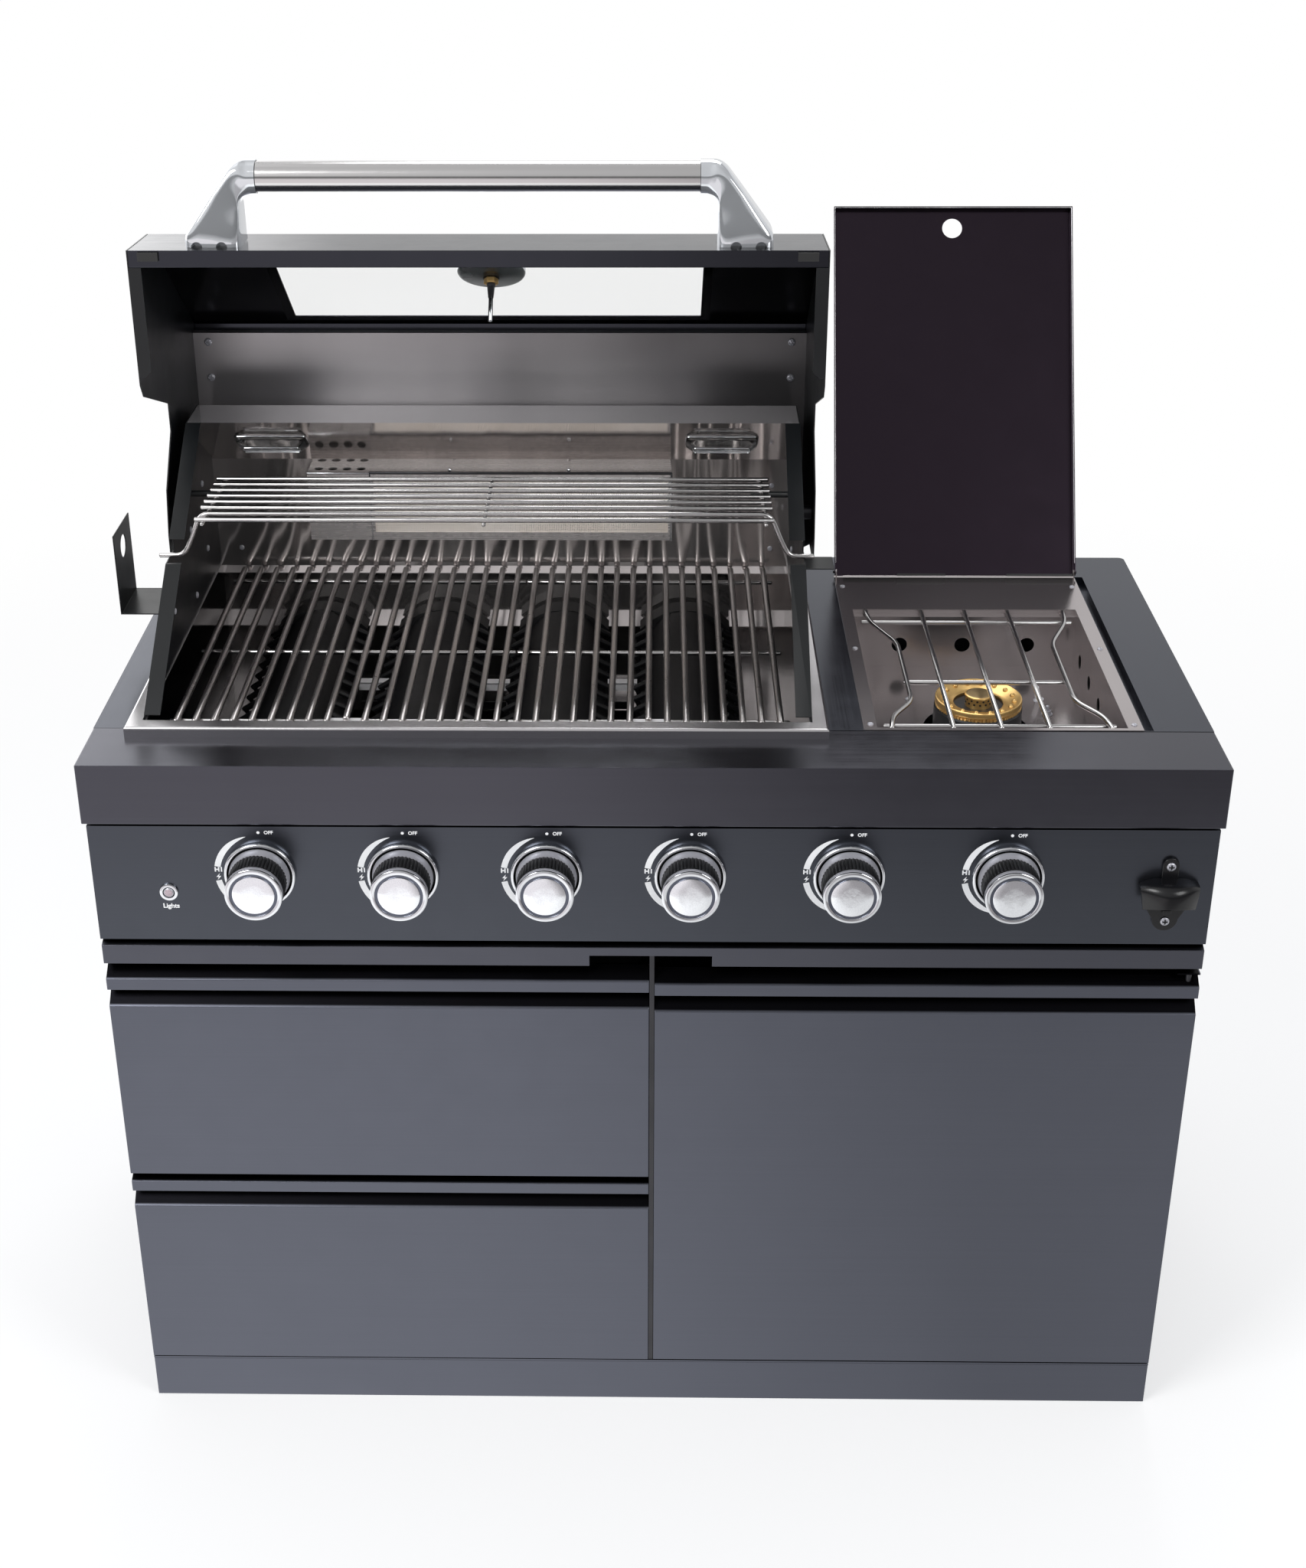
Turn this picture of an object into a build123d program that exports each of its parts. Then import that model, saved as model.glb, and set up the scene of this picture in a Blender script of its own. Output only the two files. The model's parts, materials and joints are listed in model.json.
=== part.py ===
from build123d import *
import os
from math import acos, asin, atan2, cos, degrees, hypot, pi, radians, sin

# Gas barbecue kitchen: a cabinet with a built-in four-burner grill head and a side burner.
# Millimetres. While it is modelled, x runs to the right from the middle of the worktop,
# y runs back from the worktop's front edge and z runs up from the floor. Each finished
# piece is then moved so that the origin lies on the floor under the middle of the worktop.

# Worktop and cabinet
cabinet_width = 1290
side_overhang = 5           # worktop past the cabinet
rear_overhang = 6
worktop_width = cabinet_width + 2 * side_overhang
worktop_depth = 645
worktop_height = 928
apron_height = 75
worktop_seam = 97           # front edge to the joint between front strip and deck
corner_radius = 8
sheet = 1.5                 # folded stainless sheet
thick_sheet = 2.0           # carcass sheet
plinth_height = 62
plinth_front = 4
cabinet_rear = worktop_depth - rear_overhang
carcass_front = 30          # front edge of gables, behind the doors' folded pans
plinth_flange = 30
seam = 0.5                  # joint between two worktop pieces
fit = 0.3                   # gap between sliding or resting faces
running = 0.05              # radial clearance of a pin or shaft in its hole

# Fronts
front_face = 3              # front face of doors, drawers and drip tray
front_depth = 20
recess_height = 23
nose_height = 15
brow_height = 14            # slope from a handle nose back up into the gap above it
left_front_right = -1.8
door_left = 4.8
post_width = 5.6
post_x = 1.5
door_gap = 4.5              # plinth to door
drawer_gap = 4              # plinth to lower drawer
lower_drawer_height = 281
door_drop = 4               # the door's handle sits this much lower than the drawer's
front_gap = 11.6
drip_front_gap = 22         # drawer to drip tray
drip_front_height = 25
drip_notch_width = 144
drip_notch_height = 14

# Control panel
panel_gap = 3               # worktop's apron to control panel
panel_height = 150.4
panel_foot = 9.6            # drip tray to control panel
panel_face = 2
knob_drop = 61              # panel's top edge down to the knobs' axis
knob_pitch_main = 165
first_knob_x = -450
rear_knob_x = 227
side_knob_offset = 7        # side burner's middle to its knob
spindle_d = 8
knob_d = 65.6
knob_grip_d = 60
knob_reach = 51
knob_travel = 3.5
bezel_d = 83
button_x = -558
button_drop = 25            # knobs' axis down to the light switch
button_d = 12
opener_inset = 52           # cabinet's side to the opener's middle
opener_lift = 33.4          # panel's lower edge to the opener's lower screw
opener_screw_pitch = 72
opener_tab = 9.5            # half the width of the tab over the jaw
jaw_half = 34.5             # jaw's half width at its shoulders
jaw_foot = 30               # and at its lower corners
jaw_radius = 48
jaw_wall = 4
jaw_arch = 34

# Grill head
head_x = -202.5
rim_width = 813
rim_front = 74
rim_rear = 624
rim_height = 12
rim_sheet = 1.2
rim_margin = 18             # rim's edge to the outside of the fixed side plates
head_width = rim_width - 2 * rim_margin
firebox_front = 94
firebox_rear = 600
casing_rear = 607
firebox_depth = 188         # below the worktop's top
side_flange = 19
slope_front_y = 104
slope_front_z = 14          # above the worktop
slope_top_y = 467
slope_top_z = 250
ledge_rear = 540
casing_shoulder_z = 215
rear_wall_top = 157
spit_y = 322
spit_z = 140
spit_slot = 20
spit_slot_rear = 331

# Cooking surfaces
rod_d = 8
rod_pitch = 22
grate_margin = 16.5         # side plate's flange to the first rod's centre
left_share = 0.545          # share of the rods in the left grate
grate_gap = 24
grate_z = 3                 # rod centre above the worktop
grate_front = 108
grate_rear = 588
bar_d = 6
rack_z = 188
rack_front = 284
rack_pitch = 20.9
rack_rods = 8
rack_margin = 41.5          # rack's rod ends to the outside of the side plates
burner_d = 38
burner_drop = 120           # worktop's top down to the burners' axis
tamer_width = 122
tamer_rise = 34
tamer_drop = 73

# Hood
hood_overlap = 17.5         # hood past the side plates
hood_width = head_width + 2 * hood_overlap
hinge_y = 444
hinge_z = 140
hood_open = 90
hood_pin_d = 10
lip_y = 80
lip_z = 16
lip_width = 20
strip_height = 112
strip_lean = 3.6
window_angle = 52
window_start = 16
window_end = 241
window_width = 529
window_face_length = 272
roof_z = 342
hood_rear = 560
flap_z = 312
liner_z = 327
liner_front = 264
side_lip = 15.5
handle_tube_d = 35
handle_span = 514
handle_standoff = 77.5
post_foot = 66
gauge_d = 86
gauge_place = 118

# Side burner
tray_gap = 42               # grill head's rim to the side burner's tray
tray_width = 323.5
tray_front = 97.5
tray_rear = 573
well_inset = 16
well_width = 290
well_front = 103
well_rear = 457
well_depth = 75
shelf_width = 12
shelf_drop = 4.5
tray_screw_inset = 8.75
tray_screw_rows = (112, 330, 535)
side_burner_inset = 140     # well's left wall to the burner
side_burner_y = 258
ring_d = 104
lid_front = 68
lid_height = 14.2
lid_skirt = 13
lid_pivot_y = 568
lid_pivot_z = 9
lid_open = 120
lid_pin_d = 4

half_cabinet = cabinet_width / 2
half_head = head_width / 2
opener_x = half_cabinet - opener_inset
tray_left = head_x + rim_width / 2 + tray_gap
tray_right = tray_left + tray_width
well_left = tray_left + well_inset
well_right = well_left + well_width
side_burner_x = well_left + side_burner_inset
side_knob_x = side_burner_x + side_knob_offset
top = worktop_height
panel_top = top - apron_height - panel_gap
panel_bottom = panel_top - panel_height
knob_height = panel_top - knob_drop
button_height = knob_height - button_drop
opener_screw_low = panel_bottom + opener_lift
opener_screw_high = opener_screw_low + opener_screw_pitch
drip_front_top = panel_bottom - panel_foot
drip_front_bottom = drip_front_top - drip_front_height
divider_top = drip_front_bottom + drip_notch_height
fronts_top = drip_front_bottom - drip_front_gap
door_bottom = plinth_height + door_gap
lower_front_bottom = plinth_height + drawer_gap
lower_drawer_top = lower_front_bottom + lower_drawer_height
upper_front_bottom = lower_drawer_top + front_gap
firebox_bottom = top - firebox_depth
burner_z = top - burner_drop
tamer_z = top - tamer_drop
rack_half = half_head - rack_margin


def block(x0, x1, y0, y1, z0, z1):
    """A box between two corners."""
    size = Box(x1 - x0, y1 - y0, z1 - z0)
    return Pos((x0 + x1) / 2, (y0 + y1) / 2, (z0 + z1) / 2) * size


def prism(points, x0, x1):
    """A polygon in the y-z plane, carried along x."""
    face = Plane.YZ.offset(x0) * make_face(Polyline(*points, close=True))
    return extrude(face, x1 - x0, dir=(1, 0, 0))


def folded(points, thickness, x0, x1):
    """A folded sheet: a line of y-z points with the metal on its right-hand side."""
    normals = []
    for (ya, za), (yb, zb) in zip(points, points[1:]):
        length = hypot(yb - ya, zb - za)
        normals.append(((zb - za) / length, (ya - yb) / length))
    inner = []
    for i, (y, z) in enumerate(points):
        before = normals[max(i - 1, 0)]
        after = normals[min(i, len(normals) - 1)]
        scale = thickness / (1 + before[0] * after[0] + before[1] * after[1])
        inner.append((y + scale * (before[0] + after[0]), z + scale * (before[1] + after[1])))
    return prism(points + inner[::-1], x0, x1)


def along(axis, radius, start, length):
    """A cylinder from a start point along x, y or z."""
    turn = {"x": Rot(0, 90, 0), "y": Rot(-90, 0, 0), "z": Rot(0, 0, 0)}[axis]
    body = Cylinder(radius, length, align=(Align.CENTER, Align.CENTER, Align.MIN))
    return Pos(*start) * turn * body


def wire(points, diameter):
    """A round wire through points, with ball-shaped bends."""
    pieces = []
    for a, b in zip(points, points[1:]):
        run = Vector(*b) - Vector(*a)
        plane = Plane(origin=a, z_dir=run.normalized())
        align = (Align.CENTER, Align.CENTER, Align.MIN)
        pieces.append(plane * Cylinder(diameter / 2, run.length, align=align))
    for point in points[1:-1]:
        pieces.append(Pos(*point) * Sphere(diameter / 2))
    return pieces


def weld(pieces):
    """One solid from several overlapping ones."""
    return pieces[0].fuse(*pieces[1:])


def mirrored(shape):
    """The shape on the other side of the grill head."""
    return mirror(shape, about=Plane.YZ.offset(head_x))


# ---------------------------------------------------------------- cabinet

def plinth():
    """Toe-kick frame with folded feet and a centre channel that stands on the floor."""
    h = half_cabinet
    t = thick_sheet
    outer = block(-h, h, plinth_front, cabinet_rear, 0, plinth_height)
    inner = block(-h + t, h - t, plinth_front + t, cabinet_rear - t, 0, plinth_height)
    ring = outer - inner
    f = plinth_flange
    feet = block(-h, h, plinth_front, cabinet_rear, 0, t)
    feet -= block(-h + f, h - f, plinth_front + f, cabinet_rear - f, 0, t)
    channel = block(-f, f, plinth_front, cabinet_rear, 0, t)
    web = block(-f, -f + t, plinth_front, cabinet_rear, 0, plinth_height)
    web2 = block(f - t, f, plinth_front, cabinet_rear, 0, plinth_height)
    return weld([ring, feet, channel, web, web2])


def cabinet_floor():
    h = half_cabinet
    return block(-h, h, plinth_front, cabinet_rear, plinth_height, plinth_height + thick_sheet)


floor_top = plinth_height + thick_sheet
gable_top = top - sheet
gable_flange = 12
door_pivot_x = half_cabinet - 12
door_pivot_y = front_face + front_depth / 2
door_pin_d = 8
door_top = fronts_top - door_drop
bracket_z = door_top + brow_height + 2


def gables():
    """Side walls with folded front flanges; the right one carries the door's top pivot."""
    t = thick_sheet
    wall = block(half_cabinet - t, half_cabinet, carcass_front, cabinet_rear, floor_top, gable_top)
    lip = block(half_cabinet - gable_flange, half_cabinet, carcass_front, carcass_front + t,
                floor_top, divider_top)
    right = wall + lip
    left = mirror(right, about=Plane.YZ)
    for z in (upper_runner_z, lower_runner_z):
        left -= block(-half_cabinet + t, -half_cabinet + gable_flange + 1, carcass_front - 1,
                      carcass_front + t + 1, z - runner_height / 2, z + runner_height / 2)
    bracket = block(door_pivot_x - 15, half_cabinet, door_pivot_y - 7, carcass_front + 30,
                    bracket_z, bracket_z + t)
    return [left, right + bracket]


def cabinet_back():
    """Rear sheet with vent slots and the hole for the gas inlet."""
    t = thick_sheet
    edge = half_cabinet - t
    back = block(-edge, edge, cabinet_rear - t, cabinet_rear, floor_top, gable_top)
    slots = []
    for side in (-1, 1):
        for i in range(6):
            z = 160 + 22 * i
            middle = side * edge / 2
            slots.append(block(middle - 90, middle + 90, cabinet_rear - 2 * t,
                               cabinet_rear + t, z, z + 8))
    hole = along("y", inlet_d / 2 + 2, (inlet_x, cabinet_rear - 2 * t, manifold_z), 4 * t)
    return back.cut(*slots, hole)


def centre_divider():
    """Wall between drawers and bottle bay, with its front post in the gap between fronts."""
    t = thick_sheet
    wall = block(post_x - t / 2, post_x + t / 2, front_face + 2, cabinet_rear - t,
                 floor_top, divider_top)
    post = block(post_x - post_width / 2, post_x + post_width / 2, front_face + 2,
                 carcass_front, floor_top, divider_top)
    return wall + post


def worktop_cutouts():
    """The openings for the grill head and the side burner tray."""
    head = block(head_x - rim_width / 2 + 12, head_x + rim_width / 2 - 12,
                 rim_front + 12, rim_rear - 12, top - 60, top + 1)
    well = block(well_left - 5, well_right + 5, well_front - 3, well_rear + 5, top - 60, top + 1)
    return head, well


def worktop_front():
    """Front strip of the worktop with its deep apron."""
    h = worktop_width / 2
    low = top - apron_height
    rear = worktop_seam - seam / 2
    line = [(14, low), (0, low), (0, top), (rear, top), (rear, top - 28)]
    strip = folded(line, sheet, -h, h)
    caps = [block(x, x + sheet, sheet, rear, low, top - sheet) for x in (-h, h - sheet)]
    head, _ = worktop_cutouts()
    return weld([strip] + caps).cut(head, *gable_relief())


def gable_relief():
    """Notches that keep the seam's flanges clear of the cabinet's side walls."""
    inner = half_cabinet - thick_sheet - fit
    outer = worktop_width / 2 - sheet
    y0 = worktop_seam - sheet - 1
    y1 = worktop_seam + sheet + 1
    left = block(-outer, -inner, y0, y1, top - apron_height, top - sheet)
    right = block(inner, outer, y0, y1, top - apron_height, top - sheet)
    return [left, right]


def worktop_deck():
    """Main sheet of the worktop with side and rear aprons and a gutter beside the tray."""
    h = worktop_width / 2
    low = top - apron_height
    front = worktop_seam + seam / 2
    outer = block(-h, h, front, worktop_depth, low, top)
    rear_edges = outer.edges().filter_by(Axis.Z).sort_by(Axis.Y)[-2:]
    outer = fillet(rear_edges, corner_radius)
    inner = block(-h + sheet, h - sheet, front + sheet, worktop_depth - sheet, low, top - sheet)
    inner_edges = inner.edges().filter_by(Axis.Z).sort_by(Axis.Y)[-2:]
    inner = fillet(inner_edges, corner_radius - sheet)
    shell = outer - inner
    shell -= block(-h + sheet, h - sheet, front, front + sheet, low, top - 28)
    gutter_left = tray_right + 1
    gutter_right = gutter_left + 10.5
    groove = block(gutter_left, gutter_right, front + sheet, tray_rear, top - 10, top + 1)
    trough = block(gutter_left - sheet, gutter_right + sheet, front + sheet, tray_rear + sheet,
                   top - 10 - sheet, top - sheet)
    head, well = worktop_cutouts()
    return (shell + trough - groove).cut(head, well, *gable_relief())


def front_pan(x0, x1, z0, z1, brow):
    """Folded front: face, sloping finger recess, handle nose and the slope above it."""
    face = front_face
    back = front_face + front_depth - sheet
    shelf = z1 - nose_height - recess_height
    nose = z1 - nose_height
    line = [(back, z0), (face, z0), (face, shelf), (back, nose - 5), (back, nose),
            (face, nose), (face, z1), (back, z1 + brow)]
    pieces = [folded(line, sheet, x0, x1)]
    lower_end = [(face, z0), (face, shelf), (back, nose - 5), (back, z0)]
    upper_end = [(face, nose), (face, z1), (back, z1 + brow), (back, nose)]
    for x in (x0, x1 - sheet):
        pieces.append(prism(lower_end, x, x + sheet))
        pieces.append(prism(upper_end, x, x + sheet))
    return weld(pieces)


def drawer_front(z0, z1, brow):
    return front_pan(-half_cabinet, left_front_right, z0, z1, brow)


runner_height = 34
runner_reach = 10
box_side_gap = 13
box_rear = 560
box_sheet = 1.2
bay_left = -half_cabinet + thick_sheet
bay_right = post_x - thick_sheet / 2


def drawer_box(z0, height, runner_z):
    """Open sheet box with a slide bar on each side, running inside the fixed channels."""
    x0 = bay_left + box_side_gap
    x1 = bay_right - box_side_gap
    y0 = front_face + front_depth
    t = box_sheet
    outer = block(x0, x1, y0, box_rear, z0, z0 + height)
    inner = block(x0 + t, x1 - t, y0 + t, box_rear - t, z0 + t, z0 + height)
    bar = runner_height / 2 - sheet - fit
    left = block(bay_left + sheet + fit, x0, y0 + 15, box_rear - 15, runner_z - bar, runner_z + bar)
    right = block(x1, bay_right - sheet - fit, y0 + 15, box_rear - 15, runner_z - bar,
                  runner_z + bar)
    return weld([outer - inner, left, right])


box_height = 185
runner_place = 95           # box's bottom to its runners
upper_box_bottom = upper_front_bottom + 15.4
lower_box_bottom = lower_front_bottom + 14
upper_runner_z = upper_box_bottom + runner_place
lower_runner_z = lower_box_bottom + runner_place
tray_rail_z = divider_top + 1.6
tray_half = half_cabinet - 45


def fixed_runners():
    """Channels for both drawers and the two rails that carry the drip tray."""
    solids = []
    h = runner_height / 2
    for z in (upper_runner_z, lower_runner_z):
        for wall, side in ((bay_left, 1), (bay_right, -1)):
            tip = wall + side * runner_reach
            x0, x1 = sorted((wall, tip))
            outer = block(x0, x1, carcass_front + 3, box_rear, z - h, z + h)
            web = wall + side * sheet
            c0, c1 = sorted((web, tip + side))
            solids.append(outer - block(c0, c1, 0, box_rear + 1, z - h + sheet, z + h - sheet))
    for side in (-1, 1):
        x0, x1 = sorted((side * (tray_half - 10), side * (half_cabinet - thick_sheet)))
        solids.append(block(x0, x1, carcass_front + 3, box_rear, tray_rail_z - sheet, tray_rail_z))
    return solids


def door():
    """Bottle-bay door with pivot holes near its right edge."""
    pan = front_pan(door_left, half_cabinet, door_bottom, door_top, brow_height)
    hole = door_pin_d / 2 + running
    low = along("z", hole, (door_pivot_x, door_pivot_y, door_bottom - 1), sheet + 2)
    high = along("z", hole, (door_pivot_x, door_pivot_y, door_top - sheet), brow_height + 2)
    return pan - low - high


def drip_tray():
    """Full-width grease tray: front rail with a finger notch, and the pan behind it."""
    face = front_face
    back = front_face + front_depth - sheet
    brow = panel_bottom - drip_front_top - 2.5
    line = [(back, drip_front_bottom), (face, drip_front_bottom), (face, drip_front_top),
            (back, drip_front_top + brow)]
    rail = folded(line, sheet, -half_cabinet, half_cabinet)
    caps = [prism(line, x, x + sheet) for x in (-half_cabinet, half_cabinet - sheet)]
    front = weld([rail] + caps)
    front -= block(-drip_notch_width / 2, drip_notch_width / 2, 0, back + 1,
                   drip_front_bottom - 1, drip_front_bottom + drip_notch_height)
    floor_z = tray_rail_z + fit
    pan = block(-tray_half, tray_half, back - sheet, 520, floor_z, floor_z + 13)
    pan -= block(-tray_half + box_sheet, tray_half - box_sheet, back, 520 - box_sheet,
                 floor_z + box_sheet, floor_z + 13)
    return front + pan


# ---------------------------------------------------------------- controls

knob_xs = [first_knob_x + knob_pitch_main * i for i in range(4)] + [rear_knob_x, side_knob_x]


def control_panel():
    """Fascia pan with holes for the spindles, the light switch and the opener's screws."""
    h = half_cabinet
    line = [(carcass_front, panel_bottom), (panel_face, panel_bottom), (panel_face, panel_top),
            (carcass_front, panel_top)]
    pan = folded(line, sheet, -h, h)
    caps = [block(x, x + sheet, panel_face, carcass_front, panel_bottom, panel_top)
            for x in (-h, h - sheet)]
    holes = [along("y", spindle_d / 2 + 2, (x, 0, knob_height), 10) for x in knob_xs]
    holes.append(along("y", button_d / 2 + 2, (button_x, 0, button_height), 10))
    for z in (opener_screw_low, opener_screw_high):
        holes.append(along("y", 2, (opener_x, 0, z), 10))
    return weld([pan] + caps).cut(*holes)


def knob_bezels():
    """Dished rings behind the knobs, and the light switch's ring and barrel."""
    solids = []
    for x in knob_xs:
        disc = along("y", bezel_d / 2, (x, panel_face - 8, knob_height), 8)
        dish = along("y", bezel_d / 2 - 8, (x, panel_face - 9, knob_height), 7)
        hole = along("y", spindle_d / 2 + 1, (x, panel_face - 9, knob_height), 10)
        ring = disc - dish - hole
        solids.append(chamfer(ring.faces().sort_by(Axis.Y)[0].outer_wire().edges(), 2.5))
    ring = along("y", button_d / 2 + 5, (button_x, panel_face - 3, button_height), 3)
    barrel = along("y", button_d / 2 + 2, (button_x, panel_face - 3, button_height), 26)
    bore = along("y", button_d / 2 + running, (button_x, panel_face - 4, button_height), 21)
    solids.append(ring + barrel - bore)
    return solids


def knob(x):
    """Ribbed grip with a wider face cap and a blind bore for the spindle."""
    front = panel_face - knob_reach
    cap_depth = 19
    rear = panel_face - 2 - knob_travel - 1
    grip = along("y", knob_grip_d / 2, (x, front + cap_depth, knob_height),
                 rear - front - cap_depth)
    cap = along("y", knob_d / 2, (x, front, knob_height), cap_depth)
    cap = chamfer(cap.faces().sort_by(Axis.Y)[0].edges(), 2)
    ribs = []
    for i in range(36):
        a = 2 * pi * i / 36
        r = knob_grip_d / 2
        ribs.append(along("y", 1.4, (x + r * cos(a), front + cap_depth, knob_height + r * sin(a)),
                          rear - front - cap_depth - 3))
    body = (cap + grip).cut(*ribs)
    return body - along("y", spindle_d / 2 + running, (x, rear - 18, knob_height), 20)


def spindle(x):
    """Valve spindle: carries the knob and is pushed in before it turns."""
    front = panel_face - 2 - knob_travel - 1 - 17
    return along("y", spindle_d / 2, (x, front, knob_height), valve_depth - 12 - front)


def light_button():
    body = along("y", button_d / 2, (button_x, panel_face - 5, button_height), 17)
    return fillet(body.faces().sort_by(Axis.Y)[0].edges(), 1)


manifold_z = knob_height - 27
manifold_y = 40
manifold_d = 20
inlet_x = 475
inlet_d = 16
inlet_thread_d = 21
inlet_thread_length = 14
inlet_nut = 8
valve_depth = 58
valve_d = 24


def gas_valves():
    """Six taps behind the fascia, each with a nozzle towards its burner."""
    solids = []
    y0 = panel_face + sheet
    for x in knob_xs:
        body = along("y", valve_d / 2, (x, y0, knob_height), valve_depth - y0)
        nozzle = along("y", 4, (x, valve_depth, knob_height), 26)
        bore = along("y", spindle_d / 2 + running, (x, y0 - 1, knob_height), valve_depth - y0 - 6)
        solids.append(body + nozzle - bore)
    return solids


def gas_manifold():
    """Supply pipe under the taps, with the inlet pipe that leaves through the back."""
    x0 = knob_xs[0] - 25
    pipe = along("x", manifold_d / 2, (x0, manifold_y, manifold_z), inlet_x - x0)
    corner = Pos(inlet_x, manifold_y, manifold_z) * Sphere(manifold_d / 2)
    nut_y = cabinet_rear + 1
    feed = along("y", inlet_d / 2, (inlet_x, manifold_y, manifold_z), nut_y - manifold_y)
    hexagon = extrude(RegularPolygon(inlet_thread_d / 2 + 3, 6), inlet_nut)
    nut = Pos(inlet_x, nut_y, manifold_z) * Rot(-90, 0, 0) * hexagon
    thread = along("y", inlet_thread_d / 2, (inlet_x, nut_y + inlet_nut, manifold_z),
                   inlet_thread_length)
    necks = []
    for x in knob_xs:
        neck = along("z", 7, (x, manifold_y, manifold_z), knob_height - manifold_z)
        necks.append(neck - along("y", valve_d / 2, (x, 0, knob_height), 90))
    return weld([pipe, corner, feed, nut, thread] + necks)


def frontal(points, y0, y1):
    """A polygon in the x-z plane, carried along y."""
    face = Plane.XZ.offset(-y0) * make_face(Polyline(*points, close=True))
    return extrude(face, y1 - y0, dir=(0, 1, 0))


def bottle_opener():
    """Cast wall opener: back plate, tab, flared jaw with an arched edge, and a tooth."""
    x = opener_x
    y1 = panel_face
    low = opener_screw_low
    high = opener_screw_high
    t = jaw_wall
    lower = along("y", 21, (x, y1 - t, low + 12), t)
    upper = along("y", opener_tab, (x, y1 - t, high + 1), t)
    spine = block(x - opener_tab, x + opener_tab, y1 - t, y1, low, high)
    foot = low + 18
    shoulder = low + 43
    ridge = low + 62
    side = [(x + jaw_foot, foot), (x + jaw_half, shoulder), (x + opener_tab + 3, ridge),
            (x + opener_tab, ridge + 5)]
    front = side + [(2 * x - px, pz) for px, pz in reversed(side)]
    depth = jaw_radius - 14
    slope = [(y1, foot), (y1 - depth, foot), (y1 - depth, ridge - 4), (y1 - t, ridge + 5),
             (y1, ridge + 5)]
    drum = along("z", jaw_radius, (x, y1 + 14, foot), ridge + 5 - foot)
    shell = drum & frontal(front, y1 - depth - 1, y1) & prism(slope, x - jaw_half, x + jaw_half)
    cave = [(x + 40, foot - 1), (x + 40, shoulder - 6), (x + 18, shoulder + 6),
            (x - 18, shoulder + 6), (x - 40, shoulder - 6), (x - 40, foot - 1)]
    bore = along("z", jaw_radius - t, (x, y1 + 14, foot - 1), 40)
    shell -= bore & frontal(cave, y1 - depth - 1, y1 - t)
    shell -= along("y", jaw_arch, (x, y1 - depth - 1, low + 3), depth + 1 - t)
    tooth = prism([(y1 - t, low + 9), (y1 - t - 5, low + 15), (y1 - t - 5, low + 17),
                   (y1 - t, low + 17)], x - 5, x + 5)
    screws = [along("y", 2, (x, y1 - 8, z), 12) for z in (low, high)]
    access = along("y", 6, (x, y1 - 50, high), 50 - t)
    return (weld([lower, upper, spine, shell, tooth]) - access).cut(*screws)


# ---------------------------------------------------------------- grill head

left_plate = head_x - half_head
right_plate = head_x + half_head


def head_rim():
    """Stainless frame that hangs the grill head in the worktop."""
    x0 = head_x - rim_width / 2
    x1 = head_x + rim_width / 2
    t = rim_sheet
    outer = block(x0, x1, rim_front, rim_rear, top, top + rim_height)
    hollow = block(x0 + t, x1 - t, rim_front + t, rim_rear - t, top, top + rim_height - t)
    opening = block(left_plate, right_plate, firebox_front, casing_rear, top - 20, top + 20)
    skirt = block(left_plate - t, right_plate + t, firebox_front - t, casing_rear + t,
                  top, top + rim_height)
    edges = outer.edges().group_by(Axis.Z)[-1]
    outer = fillet(edges, 3)
    return ((outer - hollow) + skirt) - opening


firebox_top = top + 8
ledge_depth = 15
grate_ledge = top + grate_z - rod_d / 2 - fit


def firebox():
    """Lower box of the grill head: walls, bottom rim, tamer ledges and grate ledges."""
    x0 = left_plate + sheet
    x1 = right_plate - sheet
    y0 = firebox_front
    y1 = firebox_rear + sheet
    t = sheet
    shell = block(x0, x1, y0, y1, firebox_bottom, firebox_top)
    shell -= block(x0 + t, x1 - t, y0 + t, y1 - t, firebox_bottom + t, firebox_top)
    shell -= block(x0 + 60, x1 - 60, y0 + 60, y1 - 60, firebox_bottom - 1, firebox_bottom + 2 * t)
    pieces = [shell]
    for z, depth in ((tamer_z, 30), (grate_ledge, ledge_depth)):
        pieces.append(block(x0, x1, y0, y0 + depth, z - t, z))
        pieces.append(block(x0, x1, y1 - depth, y1, z - t, z))
    body = weld(pieces)
    for x in knob_xs[:4]:
        body -= along("y", venturi_d / 2 + 1, (x, y0 - 1, knob_height), 8)
    return body


venturi_d = 24


def head_side_plates():
    """Fixed wedge-shaped cheeks with a folded front flange and the spit slot."""
    z0 = top - 40
    outline = [(slope_front_y, z0), (slope_front_y, top + slope_front_z),
               (slope_top_y, top + slope_top_z), (ledge_rear, top + slope_top_z),
               (casing_rear, top + casing_shoulder_z), (casing_rear, z0)]
    plate = prism(outline, left_plate, left_plate + sheet)
    line = [(slope_front_y, top + slope_front_z), (slope_top_y, top + slope_top_z)]
    flange = folded(line, sheet, left_plate, left_plate + side_flange)
    slot_bottom = top + spit_z - 9
    slot = block(left_plate - 1, left_plate + side_flange + 1, slope_front_y, spit_slot_rear,
                 slot_bottom, slot_bottom + spit_slot)
    peg = along("x", rack_peg_r, (left_plate + sheet, rack_front + 6 * rack_pitch,
                                  top + rack_peg_z), 62)
    cheek = (plate + flange - slot) + peg
    cheek -= along("x", hood_pin_d / 2, (left_plate - 1, hinge_y, top + hinge_z), 4)
    return [cheek, mirrored(cheek)]


rack_wire = 6
rack_peg_r = 4
rack_cross_r = 2.5
rack_cross_drop = rack_wire / 2 + 2
rack_peg_z = rack_z - rack_cross_drop - rack_cross_r - rack_peg_r - fit


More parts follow.
